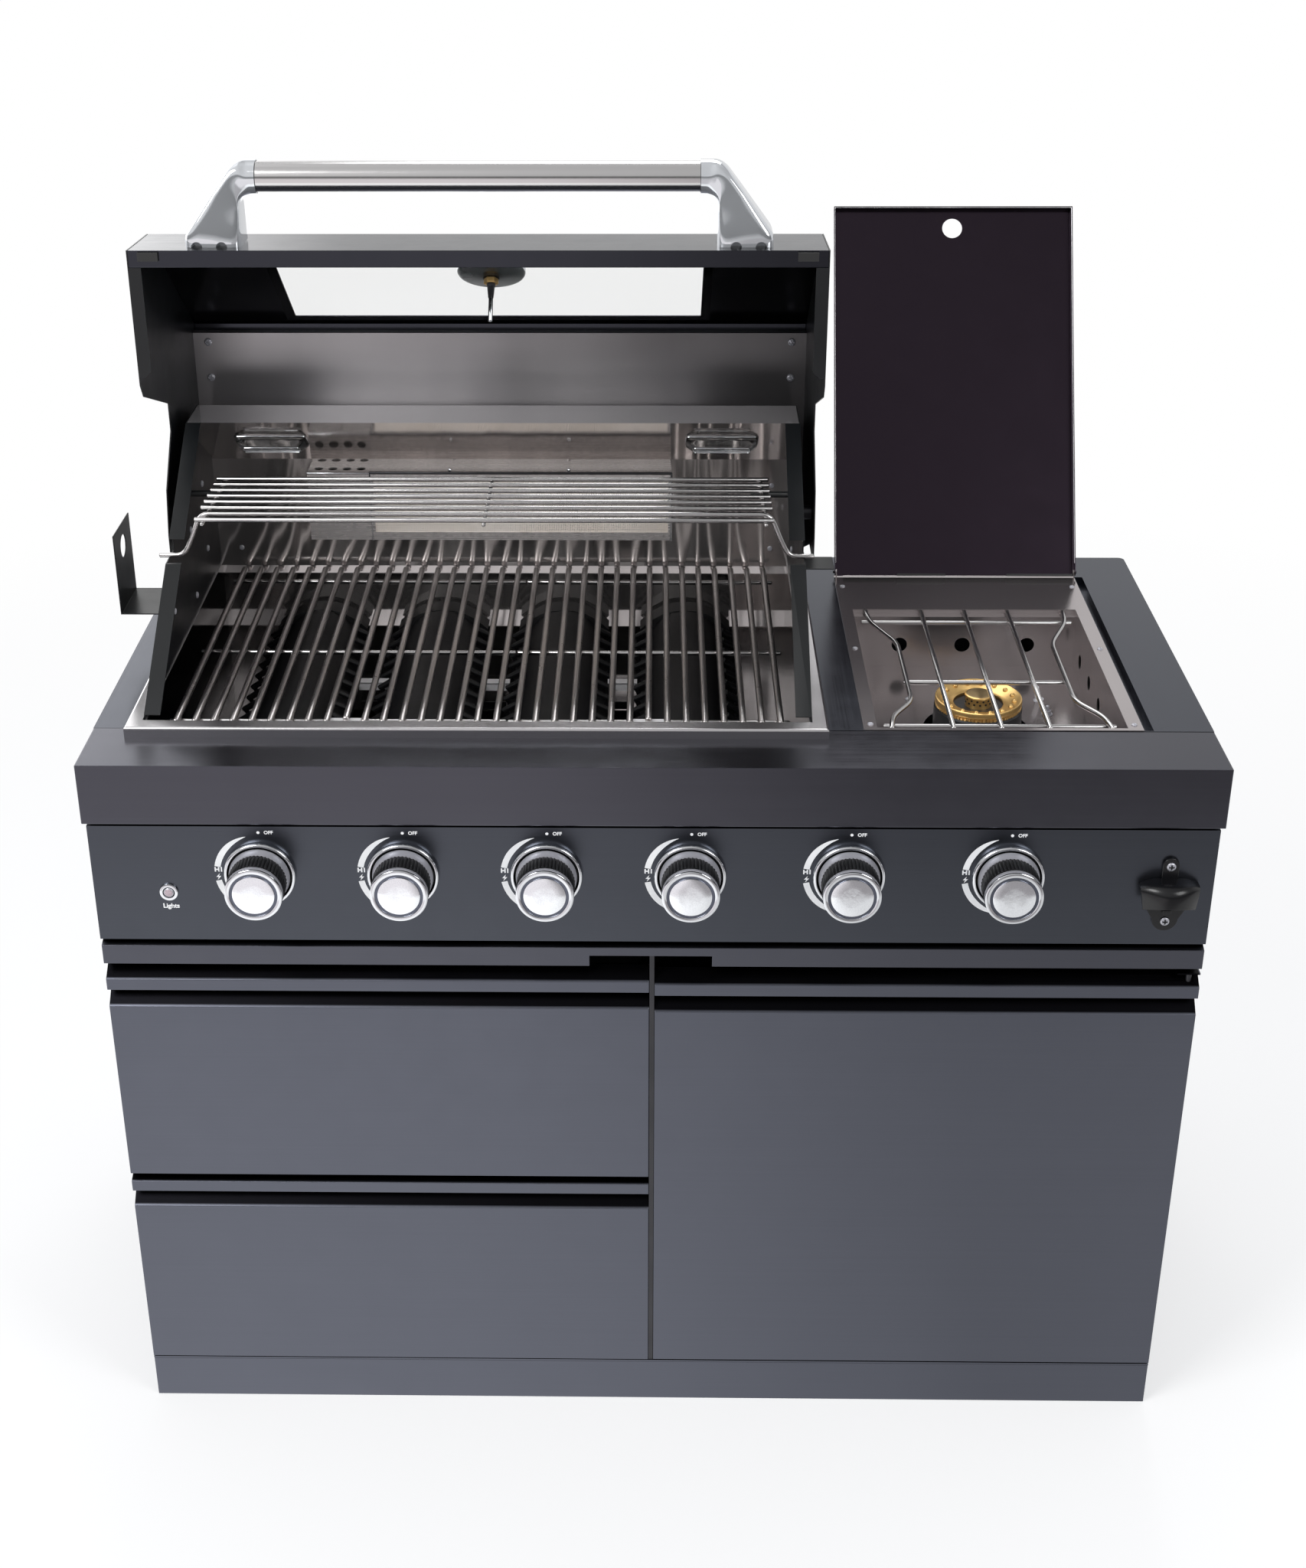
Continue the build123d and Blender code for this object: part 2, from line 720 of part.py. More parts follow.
def rear_wall():
    """Upper rear wall, lamp panel, top ledge and rear casing folded from one sheet."""
    line = [(firebox_rear, firebox_top), (firebox_rear, top + rear_wall_top),
            (slope_top_y, top + slope_top_z), (ledge_rear, top + slope_top_z),
            (casing_rear, top + casing_shoulder_z), (casing_rear, top)]
    wall = folded(line, sheet, left_plate + sheet, right_plate - sheet)
    for x in lamp_xs:
        wall -= lamp_frame(x) * Box(lamp_length - 8, lamp_width - 8, 12)
    return wall


lamp_length = 92
lamp_width = 36
lamp_height = 14
lamp_place = 0.53           # along the lamp panel, from its lower edge
lamp_xs = [head_x - 292, head_x + 292]
panel_rise = slope_top_z - rear_wall_top
panel_run = firebox_rear - slope_top_y
panel_angle = degrees(atan2(panel_rise, panel_run))


def lamp_frame(x):
    """Place on the sloping lamp panel; its z axis points down into the grill."""
    y = firebox_rear - panel_run * lamp_place
    z = top + rear_wall_top + panel_rise * lamp_place
    return Pos(x, y, z) * Rot(180 - panel_angle, 0, 0)


def lamp_glasses():
    """Glass boxes over the two lamps."""
    solids = []
    for x in lamp_xs:
        lift = Pos(0, 0, lamp_height / 2)
        outer = Box(lamp_length, lamp_width, lamp_height)
        inner = Pos(0, 0, -2) * Box(lamp_length - 5, lamp_width - 5, lamp_height)
        solids.append(lamp_frame(x) * lift * (outer - inner))
    return solids


ir_left = -375
ir_right = 25
ir_box_left = -458
ir_front = 565
ir_bottom = top + 55
ir_top = top + 149


def rear_burner():
    """Housing of the rear infrared burner with its perforated mixing box."""
    t = sheet
    body = block(ir_box_left, ir_right, ir_front, firebox_rear, ir_bottom, ir_top)
    body -= block(ir_left + 4, ir_right - 4, ir_front - 1, ir_front + 2, ir_bottom + 11,
                  ir_top - 7)
    body -= block(ir_left + t, ir_right - t, ir_front + 2, firebox_rear - 12, ir_bottom + t,
                  ir_top - t)
    body -= block(ir_box_left + t, ir_left - t, ir_front + t, firebox_rear - t, ir_bottom + t,
                  ir_top - t)
    width = ir_left - ir_box_left
    for i in range(4):
        x = ir_box_left + width * (i + 0.7) / 4.4
        body -= along("z", 6, (x, (ir_front + firebox_rear) / 2, ir_top - 5), 10)
    return body


def rear_burner_tile():
    """Ceramic tile that glows behind the housing's window."""
    return block(ir_left + t_gap, ir_right - t_gap, ir_front + 2, ir_front + 12,
                 ir_bottom + t_gap, ir_top - t_gap)


t_gap = sheet


def main_burners():
    """Four tube burners with their venturis, spark electrodes and rear support tabs."""
    solids = []
    y0 = firebox_front + 30
    for x in knob_xs[:4]:
        tube = along("y", burner_d / 2, (x, y0, burner_z), 430)
        start = valve_depth + 18
        venturi = along("y", venturi_d / 2, (x, start, knob_height), y0 + 20 - start)
        venturi -= along("y", venturi_d / 2 - 2, (x, start - 1, knob_height), 40)
        tab = block(x - 12, x + 12, y0 + 429, firebox_rear, burner_z - 2, burner_z + 2)
        spark_x = x + burner_d / 2 + 9
        bracket = block(x, spark_x + 4, y0 + 8, y0 + 20, burner_z - 1, burner_z + 1)
        electrode = along("z", 3, (spark_x, y0 + 14, burner_z - 12), 32)
        solids.append(weld([tube, venturi, tab, bracket, electrode]))
    return solids


def flame_tamers():
    """Arched sheets over the burners."""
    half = tamer_width / 2
    radius = (half ** 2 + tamer_rise ** 2) / (2 * tamer_rise)
    centre = tamer_z + tamer_rise - radius
    solids = []
    for x in knob_xs[:4]:
        y0 = firebox_front + 8
        length = firebox_rear - 8 - y0
        outer = along("y", radius, (x, y0, centre), length)
        inner = along("y", radius - sheet, (x, y0 - 1, centre), length + 2)
        keep = block(x - half, x + half, y0, y0 + length, tamer_z, tamer_z + tamer_rise + 1)
        solids.append((outer - inner) & keep)
    return solids


rod_steps = int((head_width - 2 * (side_flange + grate_margin) - grate_gap) / rod_pitch + 0.01)
left_rods = round(left_share * (rod_steps + 2))
right_rods = rod_steps + 2 - left_rods
grates_width = rod_steps * rod_pitch + grate_gap


def grate(first_x, count):
    """Welded rod grate: rods run front to back over three cross bars."""
    z = top + grate_z
    rods = []
    for i in range(count):
        x = first_x + rod_pitch * i
        start = grate_front + (9 if i == count // 2 else 0)
        rods.append(along("y", rod_d / 2, (x, start, z), grate_rear - start))
    bar_z = z - rod_d / 2 - bar_d / 2 + 0.6
    reach = (count - 1) * rod_pitch + 2 * bar_over
    bars = [along("x", bar_d / 2, (first_x - bar_over, y, bar_z), reach) for y in grate_bars]
    return weld(bars + rods)


bar_over = 10
grate_bars = (124, 324, 559)
left_first = head_x - grates_width / 2
right_first = left_first + (left_rods - 1) * rod_pitch + grate_gap


def warming_rack():
    """Rods on three cross wires; the second rod is cranked down into the spit slots."""
    z = top + rack_z
    r = rack_wire / 2
    pieces = []
    for i in range(rack_rods):
        y = rack_front + rack_pitch * i
        pieces.append(along("x", r, (head_x - rack_half, y, z), 2 * rack_half))
    rear = rack_front + rack_pitch * (rack_rods - 1)
    for dx in (-rack_half + 8, 0, rack_half - 8):
        pieces.append(along("y", rack_cross_r, (head_x + dx, rack_front - 3, z - rack_cross_drop),
                            rear + 6 - rack_front))
    leg_y = rack_front + rack_pitch
    foot_z = top + spit_z - 9 + r + fit
    for s in (-1, 1):
        end = head_x + s * (half_head + 10)
        pieces += wire([(head_x + s * (rack_half - 2), leg_y, z),
                        (head_x + s * (rack_half + 14), leg_y, z - 34),
                        (head_x + s * (rack_half + 24), leg_y, foot_z),
                        (end, leg_y, foot_z)], rack_wire)
    return weld(pieces)


bracket_reach = 60
bracket_half = 43


def rotisserie_brackets():
    """Motor bracket outside the left cheek and the spit rest outside the right one."""
    t = sheet
    reach = bracket_reach
    y0 = spit_y - bracket_half
    y1 = spit_y + bracket_half - 2
    z0 = top + 66
    shelf = block(left_plate - reach, left_plate, y0, y1, z0, z0 + t)
    upright = block(left_plate - reach, left_plate - reach + t, y0, y1, z0, z0 + 102)
    upright -= along("x", 14, (left_plate - reach - 1, spit_y, top + spit_z), 5)
    rest = block(right_plate, right_plate + 36, spit_y - 20, spit_y + 20, z0 + 52, z0 + 52 + t)
    return [shelf + upright, rest]


# ---------------------------------------------------------------- hood, modelled closed

strip_top_y = lip_y + strip_height * sin(radians(strip_lean))
strip_top_z = lip_z + strip_height * cos(radians(strip_lean))
window_y = cos(radians(window_angle))
window_z = sin(radians(window_angle))
brow_y = strip_top_y + (roof_z - strip_top_z) / window_z * window_y


def hood_turn(shape):
    """Swing a piece of the closed hood up to its open rest place."""
    return shape.rotate(Axis((0, hinge_y, top + hinge_z), (1, 0, 0)), -hood_open)


def hood_line():
    """The hood skin from the inner edge of the lip over the roof to the rear flap."""
    points = [(lip_y + lip_width, lip_z), (lip_y, lip_z), (strip_top_y, strip_top_z),
              (brow_y, roof_z), (hood_rear, roof_z), (hood_rear, flap_z)]
    return [(y, top + z) for y, z in points]


hood_left = head_x - hood_width / 2
hood_right = head_x + hood_width / 2


def window_point(s, inward=0):
    """A point on the sloping window face, s from its lower edge, optionally inside it."""
    y = strip_top_y + s * window_y + inward * window_z
    z = strip_top_z + s * window_z - inward * window_y
    return y, top + z


def window_slab(s0, s1, x0, x1, outside, inside):
    """A slab parallel to the window face."""
    corners = [window_point(s0, outside), window_point(s1, outside), window_point(s1, inside),
               window_point(s0, inside)]
    return prism(corners, x0, x1)


def hood_shell():
    """Outer skin of the hood with the window cut-out."""
    skin = folded(hood_line(), sheet, hood_left + sheet, hood_right - sheet)
    half = window_width / 2
    skin -= window_slab(window_start, window_end, head_x - half, head_x + half, -3, 6)
    skin -= window_hole(5, -3, 12)
    return hood_turn(skin)


def window_hole(radius, outside, inside):
    """A round hole square to the window face at the gauge."""
    y, z = window_point(gauge_place, outside)
    plane = Plane(origin=(head_x, y, z), x_dir=(1, 0, 0), z_dir=(0, window_z, -window_y))
    align = (Align.CENTER, Align.CENTER, Align.MIN)
    return plane * Cylinder(radius, inside - outside, align=align)


def hood_sides():
    """End panels of the hood: cut away at the rear to clear spit, bracket and cheeks."""
    rear_low = hinge_y + 47
    points = [(lip_y, lip_z), (strip_top_y, strip_top_z), (brow_y, roof_z), (hood_rear, roof_z),
              (hood_rear, flap_z), (rear_low, spit_z + 10), (rear_low, 94), (rear_low - 11, 83),
              (456, 83), (400, 96), (spit_y + 18, spit_z + 10), (spit_y - 17, spit_z + 10),
              (258, 27), (241, lip_z)]
    panel = prism([(y, top + z) for y, z in points], hood_left, hood_left + sheet)
    lip = block(hood_left, hood_left + side_lip, lip_y + lip_width + fit, 232, top + lip_z,
                top + lip_z + sheet)
    lip -= Pos(hood_left + side_lip, 232, top + lip_z) * Rot(0, 0, 45) * Box(12, 12, 10)
    side = panel + lip
    side -= along("x", hood_pin_d / 2 + running, (hood_left - 1, hinge_y, top + hinge_z), 4)
    return [hood_turn(side), hood_turn(mirrored(side))]


def hood_liner():
    """Inner stainless sheet under the roof, folded up to the skin at both ends."""
    x0 = hood_left + sheet
    x1 = hood_right - sheet
    roof = top + roof_z - sheet
    rear = hood_rear - sheet
    line = [(liner_front, roof), (liner_front, top + liner_z), (rear - 12, top + liner_z),
            (rear - 12, roof)]
    fold = folded(line[::-1], sheet, x0, x1)
    return hood_turn(fold)


def window_glass():
    """Heat-proof glass behind the window cut-out."""
    half = window_width / 2 + 12
    glass = window_slab(window_start - 10, window_end + 8, head_x - half, head_x + half,
                        sheet, sheet + 4)
    return hood_turn(glass - window_hole(gauge_stem / 2, -3, 12))


gauge_stem = 8


def thermometer():
    """Dial case outside the glass, its stem through the glass and the nut inside."""
    case = window_hole(gauge_d / 2, -16, -2)
    case = chamfer(case.edges().filter_by(GeomType.CIRCLE), 2)
    stem = window_hole(gauge_stem / 2, -3, 16)
    probe = window_hole(3, 10, 62)
    nut = window_hole(9, sheet + 4, sheet + 11) - window_hole(gauge_stem / 2, -3, 20)
    return [hood_turn(weld([case, stem, probe])), hood_turn(nut)]


handle_y = lip_y - handle_standoff + 3.5
handle_z = lip_z + 50


def hood_handle_tube():
    start = head_x - handle_span / 2 - 12
    tube = along("x", handle_tube_d / 2, (start, handle_y, top + handle_z), handle_span + 24)
    return hood_turn(tube)


def handle_posts():
    """Cast end posts: a wide foot on the hood, narrowing to the collar of the tube."""
    r = handle_tube_d / 2 + 1.5
    inner = head_x - handle_span / 2
    foot_y = lip_y + handle_z * sin(radians(strip_lean)) - 1
    side = [(inner - 20, foot_y + 6), (inner - 20 - post_foot, foot_y + 6),
            (inner - 20 - post_foot, foot_y - 14), (inner - 34, handle_y - r + 2),
            (inner - 28, handle_y - r), (inner, handle_y - r), (inner, handle_y + r),
            (inner - 20, handle_y + r + 12)]
    face = make_face(Polyline(*side, close=True))
    low = top + handle_z - post_foot / 2
    slab = extrude(Pos(0, 0, low) * face, post_foot)
    wedge = [(foot_y + 8, low), (foot_y - 12, low), (handle_y - r - 1, top + handle_z - r),
             (handle_y - r - 1, top + handle_z + r), (foot_y - 12, low + post_foot),
             (foot_y + 8, low + post_foot)]
    slab = slab & prism(wedge, inner - 100, inner + 10)
    for s in (-1, 1):
        slab -= along("y", 7, (inner - 20 - post_foot / 2 + s * 16, foot_y - 14, low - 1), 30)
    base = lip_y - tan_lean(low)
    cut = prism([(base, low - 2), (base + 40, low - 2), (base + 47, low + post_foot + 2),
                 (base + tan_lean(low, post_foot), low + post_foot + 2)], inner - 120, inner + 20)
    slab -= cut
    slab -= along("x", handle_tube_d / 2, (inner - 12, handle_y, top + handle_z), 40)
    return [hood_turn(slab), hood_turn(mirrored(slab))]


def tan_lean(low, rise=None):
    """How far the leaning front strip has moved back, at a height or over a rise."""
    slope = sin(radians(strip_lean)) / cos(radians(strip_lean))
    if rise is None:
        return -(low - 2 - top - lip_z) * slope
    return (rise + 4) * slope


bumper_length = 24


def hood_bumpers():
    """Rubber pads under the lip that meet the rim when the hood is shut."""
    height = lip_z - rim_height - fit
    solids = []
    for x in (hood_left + 13, hood_right - 13 - bumper_length):
        pad = block(x, x + bumper_length, lip_y + 2, lip_y + 12, top + lip_z - height,
                    top + lip_z)
        solids.append(hood_turn(pad))
    return solids


# ---------------------------------------------------------------- side burner

well_floor = top - well_depth
shelf_z = top - shelf_drop


def side_burner_tray():
    """Pressed tray: flange on the worktop, stepped well and the lid's pivot tabs."""
    t = rim_sheet
    flange = block(tray_left, tray_right, tray_front, tray_rear, top, top + t)
    shaft = block(well_left - t, well_right + t, well_front - t, well_rear + t,
                  shelf_z - t, top + t)
    lower = block(well_left - t, well_right + t, well_front + shelf_width - t,
                  well_rear - shelf_width + t, well_floor - t, shelf_z)
    body = weld([flange, shaft, lower])
    body -= block(well_left, well_right, well_front, well_rear, shelf_z, top + 2 * t)
    body -= block(well_left, well_right, well_front + shelf_width, well_rear - shelf_width,
                  well_floor, shelf_z + 1)
    holes = [along("z", ring_d / 2 + 13, (side_burner_x, side_burner_y, well_floor - 3), 6)]
    middle = (well_left + well_right) / 2
    for x in (middle - 83, middle - 1, middle + 83):
        holes.append(along("y", 10, (x, well_rear - shelf_width - 2, top - 44), 6))
    for y in (205, 270, 335, 400):
        holes.append(along("x", 9, (well_right - 2, y, top - 48), 6))
        holes.append(along("x", 9, (well_left - 4, y, top - 48), 6))
    body = body.cut(*holes)
    tabs = []
    for x in (tray_left + lid_ear + fit, tray_right - lid_ear - fit - sheet):
        eye = along("x", 3.6, (x, lid_pivot_y, top + lid_pivot_z), sheet)
        leg = block(x, x + sheet, lid_pivot_y - 8, lid_pivot_y + 0.5, top, top + lid_pivot_z)
        hole = along("x", lid_pin_d / 2, (x - 1, lid_pivot_y, top + lid_pivot_z), 4)
        tabs.append(eye + leg - hole)
    return weld([body] + tabs)


lid_ear = 1.2


def side_burner():
    """Cast burner cup with its venturi, held in the tray's floor by four arms."""
    x = side_burner_x
    y = side_burner_y
    cup_top = top - 42
    cup = along("z", ring_d / 2 + 2, (x, y, well_floor - 14), cup_top - well_floor + 14)
    cup = chamfer(cup.faces().sort_by(Axis.Z)[-1].edges(), 2)
    neck = along("z", 18, (x, y, knob_height), well_floor - knob_height)
    start = valve_depth + 18
    pipe = along("y", 12, (side_knob_x, start, knob_height), y - start)
    pipe -= along("y", 10, (side_knob_x, start - 1, knob_height), 60)
    arms = []
    reach = ring_d / 2 + 22
    for a in (45, 135, 225, 315):
        arm = Pos(x, y, well_floor - 4.2) * Rot(0, 0, a) * Pos(reach / 2, 0, 0) * Box(reach, 12, 6)
        arms.append(arm)
    return weld([cup, neck, pipe] + arms)


def side_burner_ring():
    """Brass flame ring with its toothed edge, and the centre cap."""
    x = side_burner_x
    y = side_burner_y
    z0 = top - 42
    ring = along("z", ring_d / 2, (x, y, z0), 10)
    ring -= Pos(x, y, z0 + 12) * Cone(30, ring_d / 2 - 6, 12)
    ring -= along("z", 30, (x, y, z0 - 1), 12)
    teeth = []
    for i in range(60):
        a = 360 * i / 60
        tooth = Pos(x, y, z0) * Rot(0, 0, a) * Pos(ring_d / 2, 0, 2) * Box(3, 2.2, 4.2)
        teeth.append(tooth)
    cap = along("z", 17, (x, y, z0), 16)
    cap = chamfer(cap.faces().sort_by(Axis.Z)[-1].edges(), 2)
    return [ring.cut(*teeth), cap]


def pan_support():
    """Welded wire trivet: three straight wires between two bent ones."""
    r = bar_d / 2
    z = shelf_z + fit + r
    y0 = well_front + 3
    y1 = well_rear - 3
    mid = (well_left + well_right) / 2
    pieces = []
    for x in (mid - 56, mid, mid + 56):
        pieces.append(along("y", r, (x, y0, z), y1 - y0))
    bend = [(-128, y1), (-125, 418), (-97, 351), (-97, 181), (-124, 138), (-128, y0)]
    for s in (-1, 1):
        pieces += wire([(mid - s * dx, y, z) for dx, y in bend], bar_d)
    for y, half in ((well_front + shelf_width + 7, 135), (245, 99), (well_rear - 27, 135)):
        pieces.append(along("x", r, (mid - half, y, z - bar_d + 0.8), 2 * half))
    return weld(pieces)


def side_lid():
    """Shallow folded lid, hinged at its rear corners, with a finger hole near its front."""
    t = lid_ear
    z1 = top + lid_height
    z0 = z1 - lid_skirt
    x0 = tray_left
    x1 = tray_right
    outer = block(x0, x1, lid_front, tray_rear, z0, z1)
    pan = outer - block(x0 + t, x1 - t, lid_front + t, tray_rear + 1, z0 - 1, z1 - t)
    rear = block(x0 + 12, x1 - 12, tray_rear - t, tray_rear, z1 - 9, z1)
    pan = pan + rear
    pivot_z = top + lid_pivot_z
    corner = block(x0 - 1, x1 + 1, lid_pivot_y, tray_rear + 1, z0 - 1, pivot_z)
    swing = along("x", lid_pivot_z - rim_sheet - fit, (x0 - 2, lid_pivot_y, pivot_z), x1 - x0 + 4)
    pan -= corner - swing
    middle = (x0 + x1) / 2
    pan -= along("z", 13.5, (middle, lid_front + 27, z0), lid_skirt + 1)
    for x in (x0 - 1, x1 - 3):
        pan -= along("x", lid_pin_d / 2 + running, (x, lid_pivot_y, top + lid_pivot_z), 4)
    return pan.rotate(Axis((0, lid_pivot_y, top + lid_pivot_z), (1, 0, 0)), -lid_open)


# ---------------------------------------------------------------- pins and screws

def hinge_pins():
    """Pivots of the hood, the side lid and the door."""
    solids = []
    z = top + hinge_z
    r = hood_pin_d / 2
    gap = left_plate - (hood_left + sheet)
    pin = along("x", r, (hood_left - 1, hinge_y, z), left_plate + sheet + 1 - hood_left)
    spacer = along("x", r + 4, (hood_left + sheet + fit, hinge_y, z), gap - fit)
    cap = along("x", r + 3, (hood_left - fit - 3, hinge_y, z), 3)
    hood_pin = weld([pin, spacer, cap])
    solids += [hood_pin, mirrored(hood_pin)]
    r = lid_pin_d / 2
    z = top + lid_pivot_z
    length = lid_ear + fit + sheet
    for x, s in ((tray_left, 1), (tray_right, -1)):
        x0 = x if s > 0 else x - length
        shank = along("x", r, (x0, lid_pivot_y, z), length)
        head_x0 = x - 2 if s > 0 else x
        solids.append(shank + along("x", r, (head_x0, lid_pivot_y, z), 2))
    r = door_pin_d / 2
    solids.append(along("z", r, (door_pivot_x, door_pivot_y, floor_top), 8))
    solids.append(along("z", r, (door_pivot_x, door_pivot_y, door_top - 2),
                        bracket_z - door_top + 2))
    return solids


def screws():
    """Tray, opener and cheek screws."""
    solids = []
    z = top + rim_sheet
    left = tray_left + tray_screw_inset
    right = tray_right - tray_screw_inset
    for y in tray_screw_rows:
        for x in (left, right):
            dome = along("z", 4, (x, y, z), 2)
            solids.append(fillet(dome.faces().sort_by(Axis.Z)[-1].edges(), 1.2))
    for z in (opener_screw_low, opener_screw_high):
        shank = along("y", 2, (opener_x, panel_face - 4, z), 12)
        head = along("y", 5, (opener_x, panel_face - 7, z), 3)
        solids.append(shank + fillet(head.faces().sort_by(Axis.Y)[0].edges(), 1.5))
    return solids


nodes = {
    "plinth": plinth(),
    "cabinet_floor": cabinet_floor(),
    "gables": gables(),
    "cabinet_back": cabinet_back(),
    "centre_divider": centre_divider(),
    "worktop_front": worktop_front(),
    "worktop_deck": worktop_deck(),
    "control_panel": control_panel(),
    "knob_bezels": knob_bezels(),
    "gas_valves": gas_valves(),
    "gas_manifold": gas_manifold(),
    "bottle_opener": bottle_opener(),
    "fixed_runners": fixed_runners(),
    "drawer_front_upper": drawer_front(upper_front_bottom, fronts_top, brow_height),
    "drawer_front_lower": drawer_front(lower_front_bottom, lower_drawer_top, front_gap - 3),
    "drawer_box_upper": drawer_box(upper_box_bottom, box_height, upper_runner_z),
    "drawer_box_lower": drawer_box(lower_box_bottom, box_height, lower_runner_z),
    "door": door(),
    "drip_tray": drip_tray(),
    "light_button": light_button(),
    "head_rim": head_rim(),
    "firebox": firebox(),
    "head_side_plates": head_side_plates(),
    "rear_wall": rear_wall(),
    "lamp_glasses": lamp_glasses(),
    "rear_burner": rear_burner(),
    "rear_burner_tile": rear_burner_tile(),
    "main_burners": main_burners(),
    "flame_tamers": flame_tamers(),
    "grate_left": grate(left_first, left_rods),
    "grate_right": grate(right_first, right_rods),
    "warming_rack": warming_rack(),
    "rotisserie_brackets": rotisserie_brackets(),
    "hood_shell": hood_shell(),
    "hood_sides": hood_sides(),
    "hood_liner": hood_liner(),
    "window_glass": window_glass(),
    "thermometer": thermometer(),
    "hood_handle_tube": hood_handle_tube(),
    "handle_posts": handle_posts(),
    "hood_bumpers": hood_bumpers(),
    "side_burner_tray": side_burner_tray(),
    "side_burner": side_burner(),
    "side_burner_ring": side_burner_ring(),
    "pan_support": pan_support(),
    "side_lid": side_lid(),
    "hinge_pins": hinge_pins(),
    "screws": screws(),
}
for number, x in enumerate(knob_xs, 1):
    nodes[f"knob_{number}"] = knob(x)
    nodes[f"valve_spindle_{number}"] = spindle(x)

os.makedirs("parts", exist_ok=True)
for name, shape in nodes.items():
    if isinstance(shape, list):
        shape = Compound([solid for piece in shape for solid in piece.solids()])
    export_step(Pos(0, -worktop_depth / 2, 0) * shape, f"parts/{name}.step")
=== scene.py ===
import json
from math import cos, pi, radians, sin

import bmesh
import bpy
import numpy as np
from mathutils import Matrix, Vector


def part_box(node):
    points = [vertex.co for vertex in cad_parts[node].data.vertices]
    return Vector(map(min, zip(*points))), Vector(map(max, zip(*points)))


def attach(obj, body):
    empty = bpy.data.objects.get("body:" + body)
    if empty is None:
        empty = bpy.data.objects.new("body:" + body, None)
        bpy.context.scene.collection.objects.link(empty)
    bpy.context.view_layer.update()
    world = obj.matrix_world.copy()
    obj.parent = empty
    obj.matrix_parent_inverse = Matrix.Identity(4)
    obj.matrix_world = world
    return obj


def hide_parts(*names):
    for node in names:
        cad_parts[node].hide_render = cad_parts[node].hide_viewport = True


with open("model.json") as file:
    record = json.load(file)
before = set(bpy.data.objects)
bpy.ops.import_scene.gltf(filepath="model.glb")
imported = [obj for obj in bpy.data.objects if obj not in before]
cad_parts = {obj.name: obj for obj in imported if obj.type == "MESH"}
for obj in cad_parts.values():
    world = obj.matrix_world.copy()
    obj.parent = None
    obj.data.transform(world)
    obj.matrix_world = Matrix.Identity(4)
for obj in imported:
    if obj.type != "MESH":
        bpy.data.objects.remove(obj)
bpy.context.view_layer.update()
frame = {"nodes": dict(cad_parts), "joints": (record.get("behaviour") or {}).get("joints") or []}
nodes = frame["nodes"]
scene = bpy.context.scene
scene.view_settings.view_transform = "Standard"


cameraSettings = {
    "place": (0.0002, -2.4922, 2.0321),
    "down": 26.349,        # degrees below the horizon
    "yaw": -1.039,
    "roll": -0.258,
    "lens": 49.91,
    "sensor": 36,
    "shift": (0.0234, -0.0253),
    "farthest": 50,
}


def makeCamera(s):
    # looks ahead along yaw and down, then rolls about that line
    down, yaw, roll = (radians(s[k]) for k in ("down", "yaw", "roll"))
    ahead = Vector((sin(yaw) * cos(down), cos(yaw) * cos(down), -sin(down)))
    level = Vector((cos(yaw), -sin(yaw), 0))
    above = level.cross(ahead)
    right = cos(roll) * level + sin(roll) * above
    up = -sin(roll) * level + cos(roll) * above
    data = bpy.data.cameras.new("camera")
    data.sensor_fit = "VERTICAL"
    data.sensor_height = s["sensor"]
    data.lens = s["lens"]
    data.shift_x, data.shift_y = s["shift"]
    data.clip_end = s["farthest"]
    camera = bpy.data.objects.new("camera", data)
    turn = Matrix((right, up, -ahead)).transposed().to_4x4()
    camera.matrix_world = Matrix.Translation(s["place"]) @ turn
    scene.collection.objects.link(camera)
    scene.camera = camera


makeCamera(cameraSettings)
print("camera placed")


class Nodes:
    # short names for building the nodes of a material or of the world

    def __init__(self, tree):
        self.tree = tree

    def node(self, kind, links=(), **values):
        # each value is a setting of the node, or one of its sockets with _ for a space
        made = self.tree.nodes.new(kind)
        for key, value in values.items():
            if hasattr(made, key):
                setattr(made, key, value)
            else:
                made.inputs[key.replace("_", " ")].default_value = value
        for socket, source in dict(links).items():
            self.link(source, made.inputs[socket])
        return made

    def link(self, source, target):
        self.tree.links.new(source, target)

    def axis(self, kind, letter):
        # one coordinate of the place (Object) or of the way the surface faces (Normal)
        coords = self.node("ShaderNodeTexCoord")
        parts = self.node("ShaderNodeSeparateXYZ", {"Vector": coords.outputs[kind]})
        return parts.outputs[letter]

    def ramp(self, source, low, high, start=0.3, end=0.7):
        # low up to start, high from end on, and straight between them
        made = self.node("ShaderNodeMapRange", {"Value": source}, From_Min=start, From_Max=end,
                         To_Min=low, To_Max=high)
        return made.outputs["Result"]

    def maths(self, operation, *sources):
        made = self.node("ShaderNodeMath", dict(enumerate(sources)), operation=operation)
        return made.outputs[0]

    def between(self, factor, first, second):
        return self.node("ShaderNodeMixShader", {0: factor, 1: first, 2: second}).outputs[0]


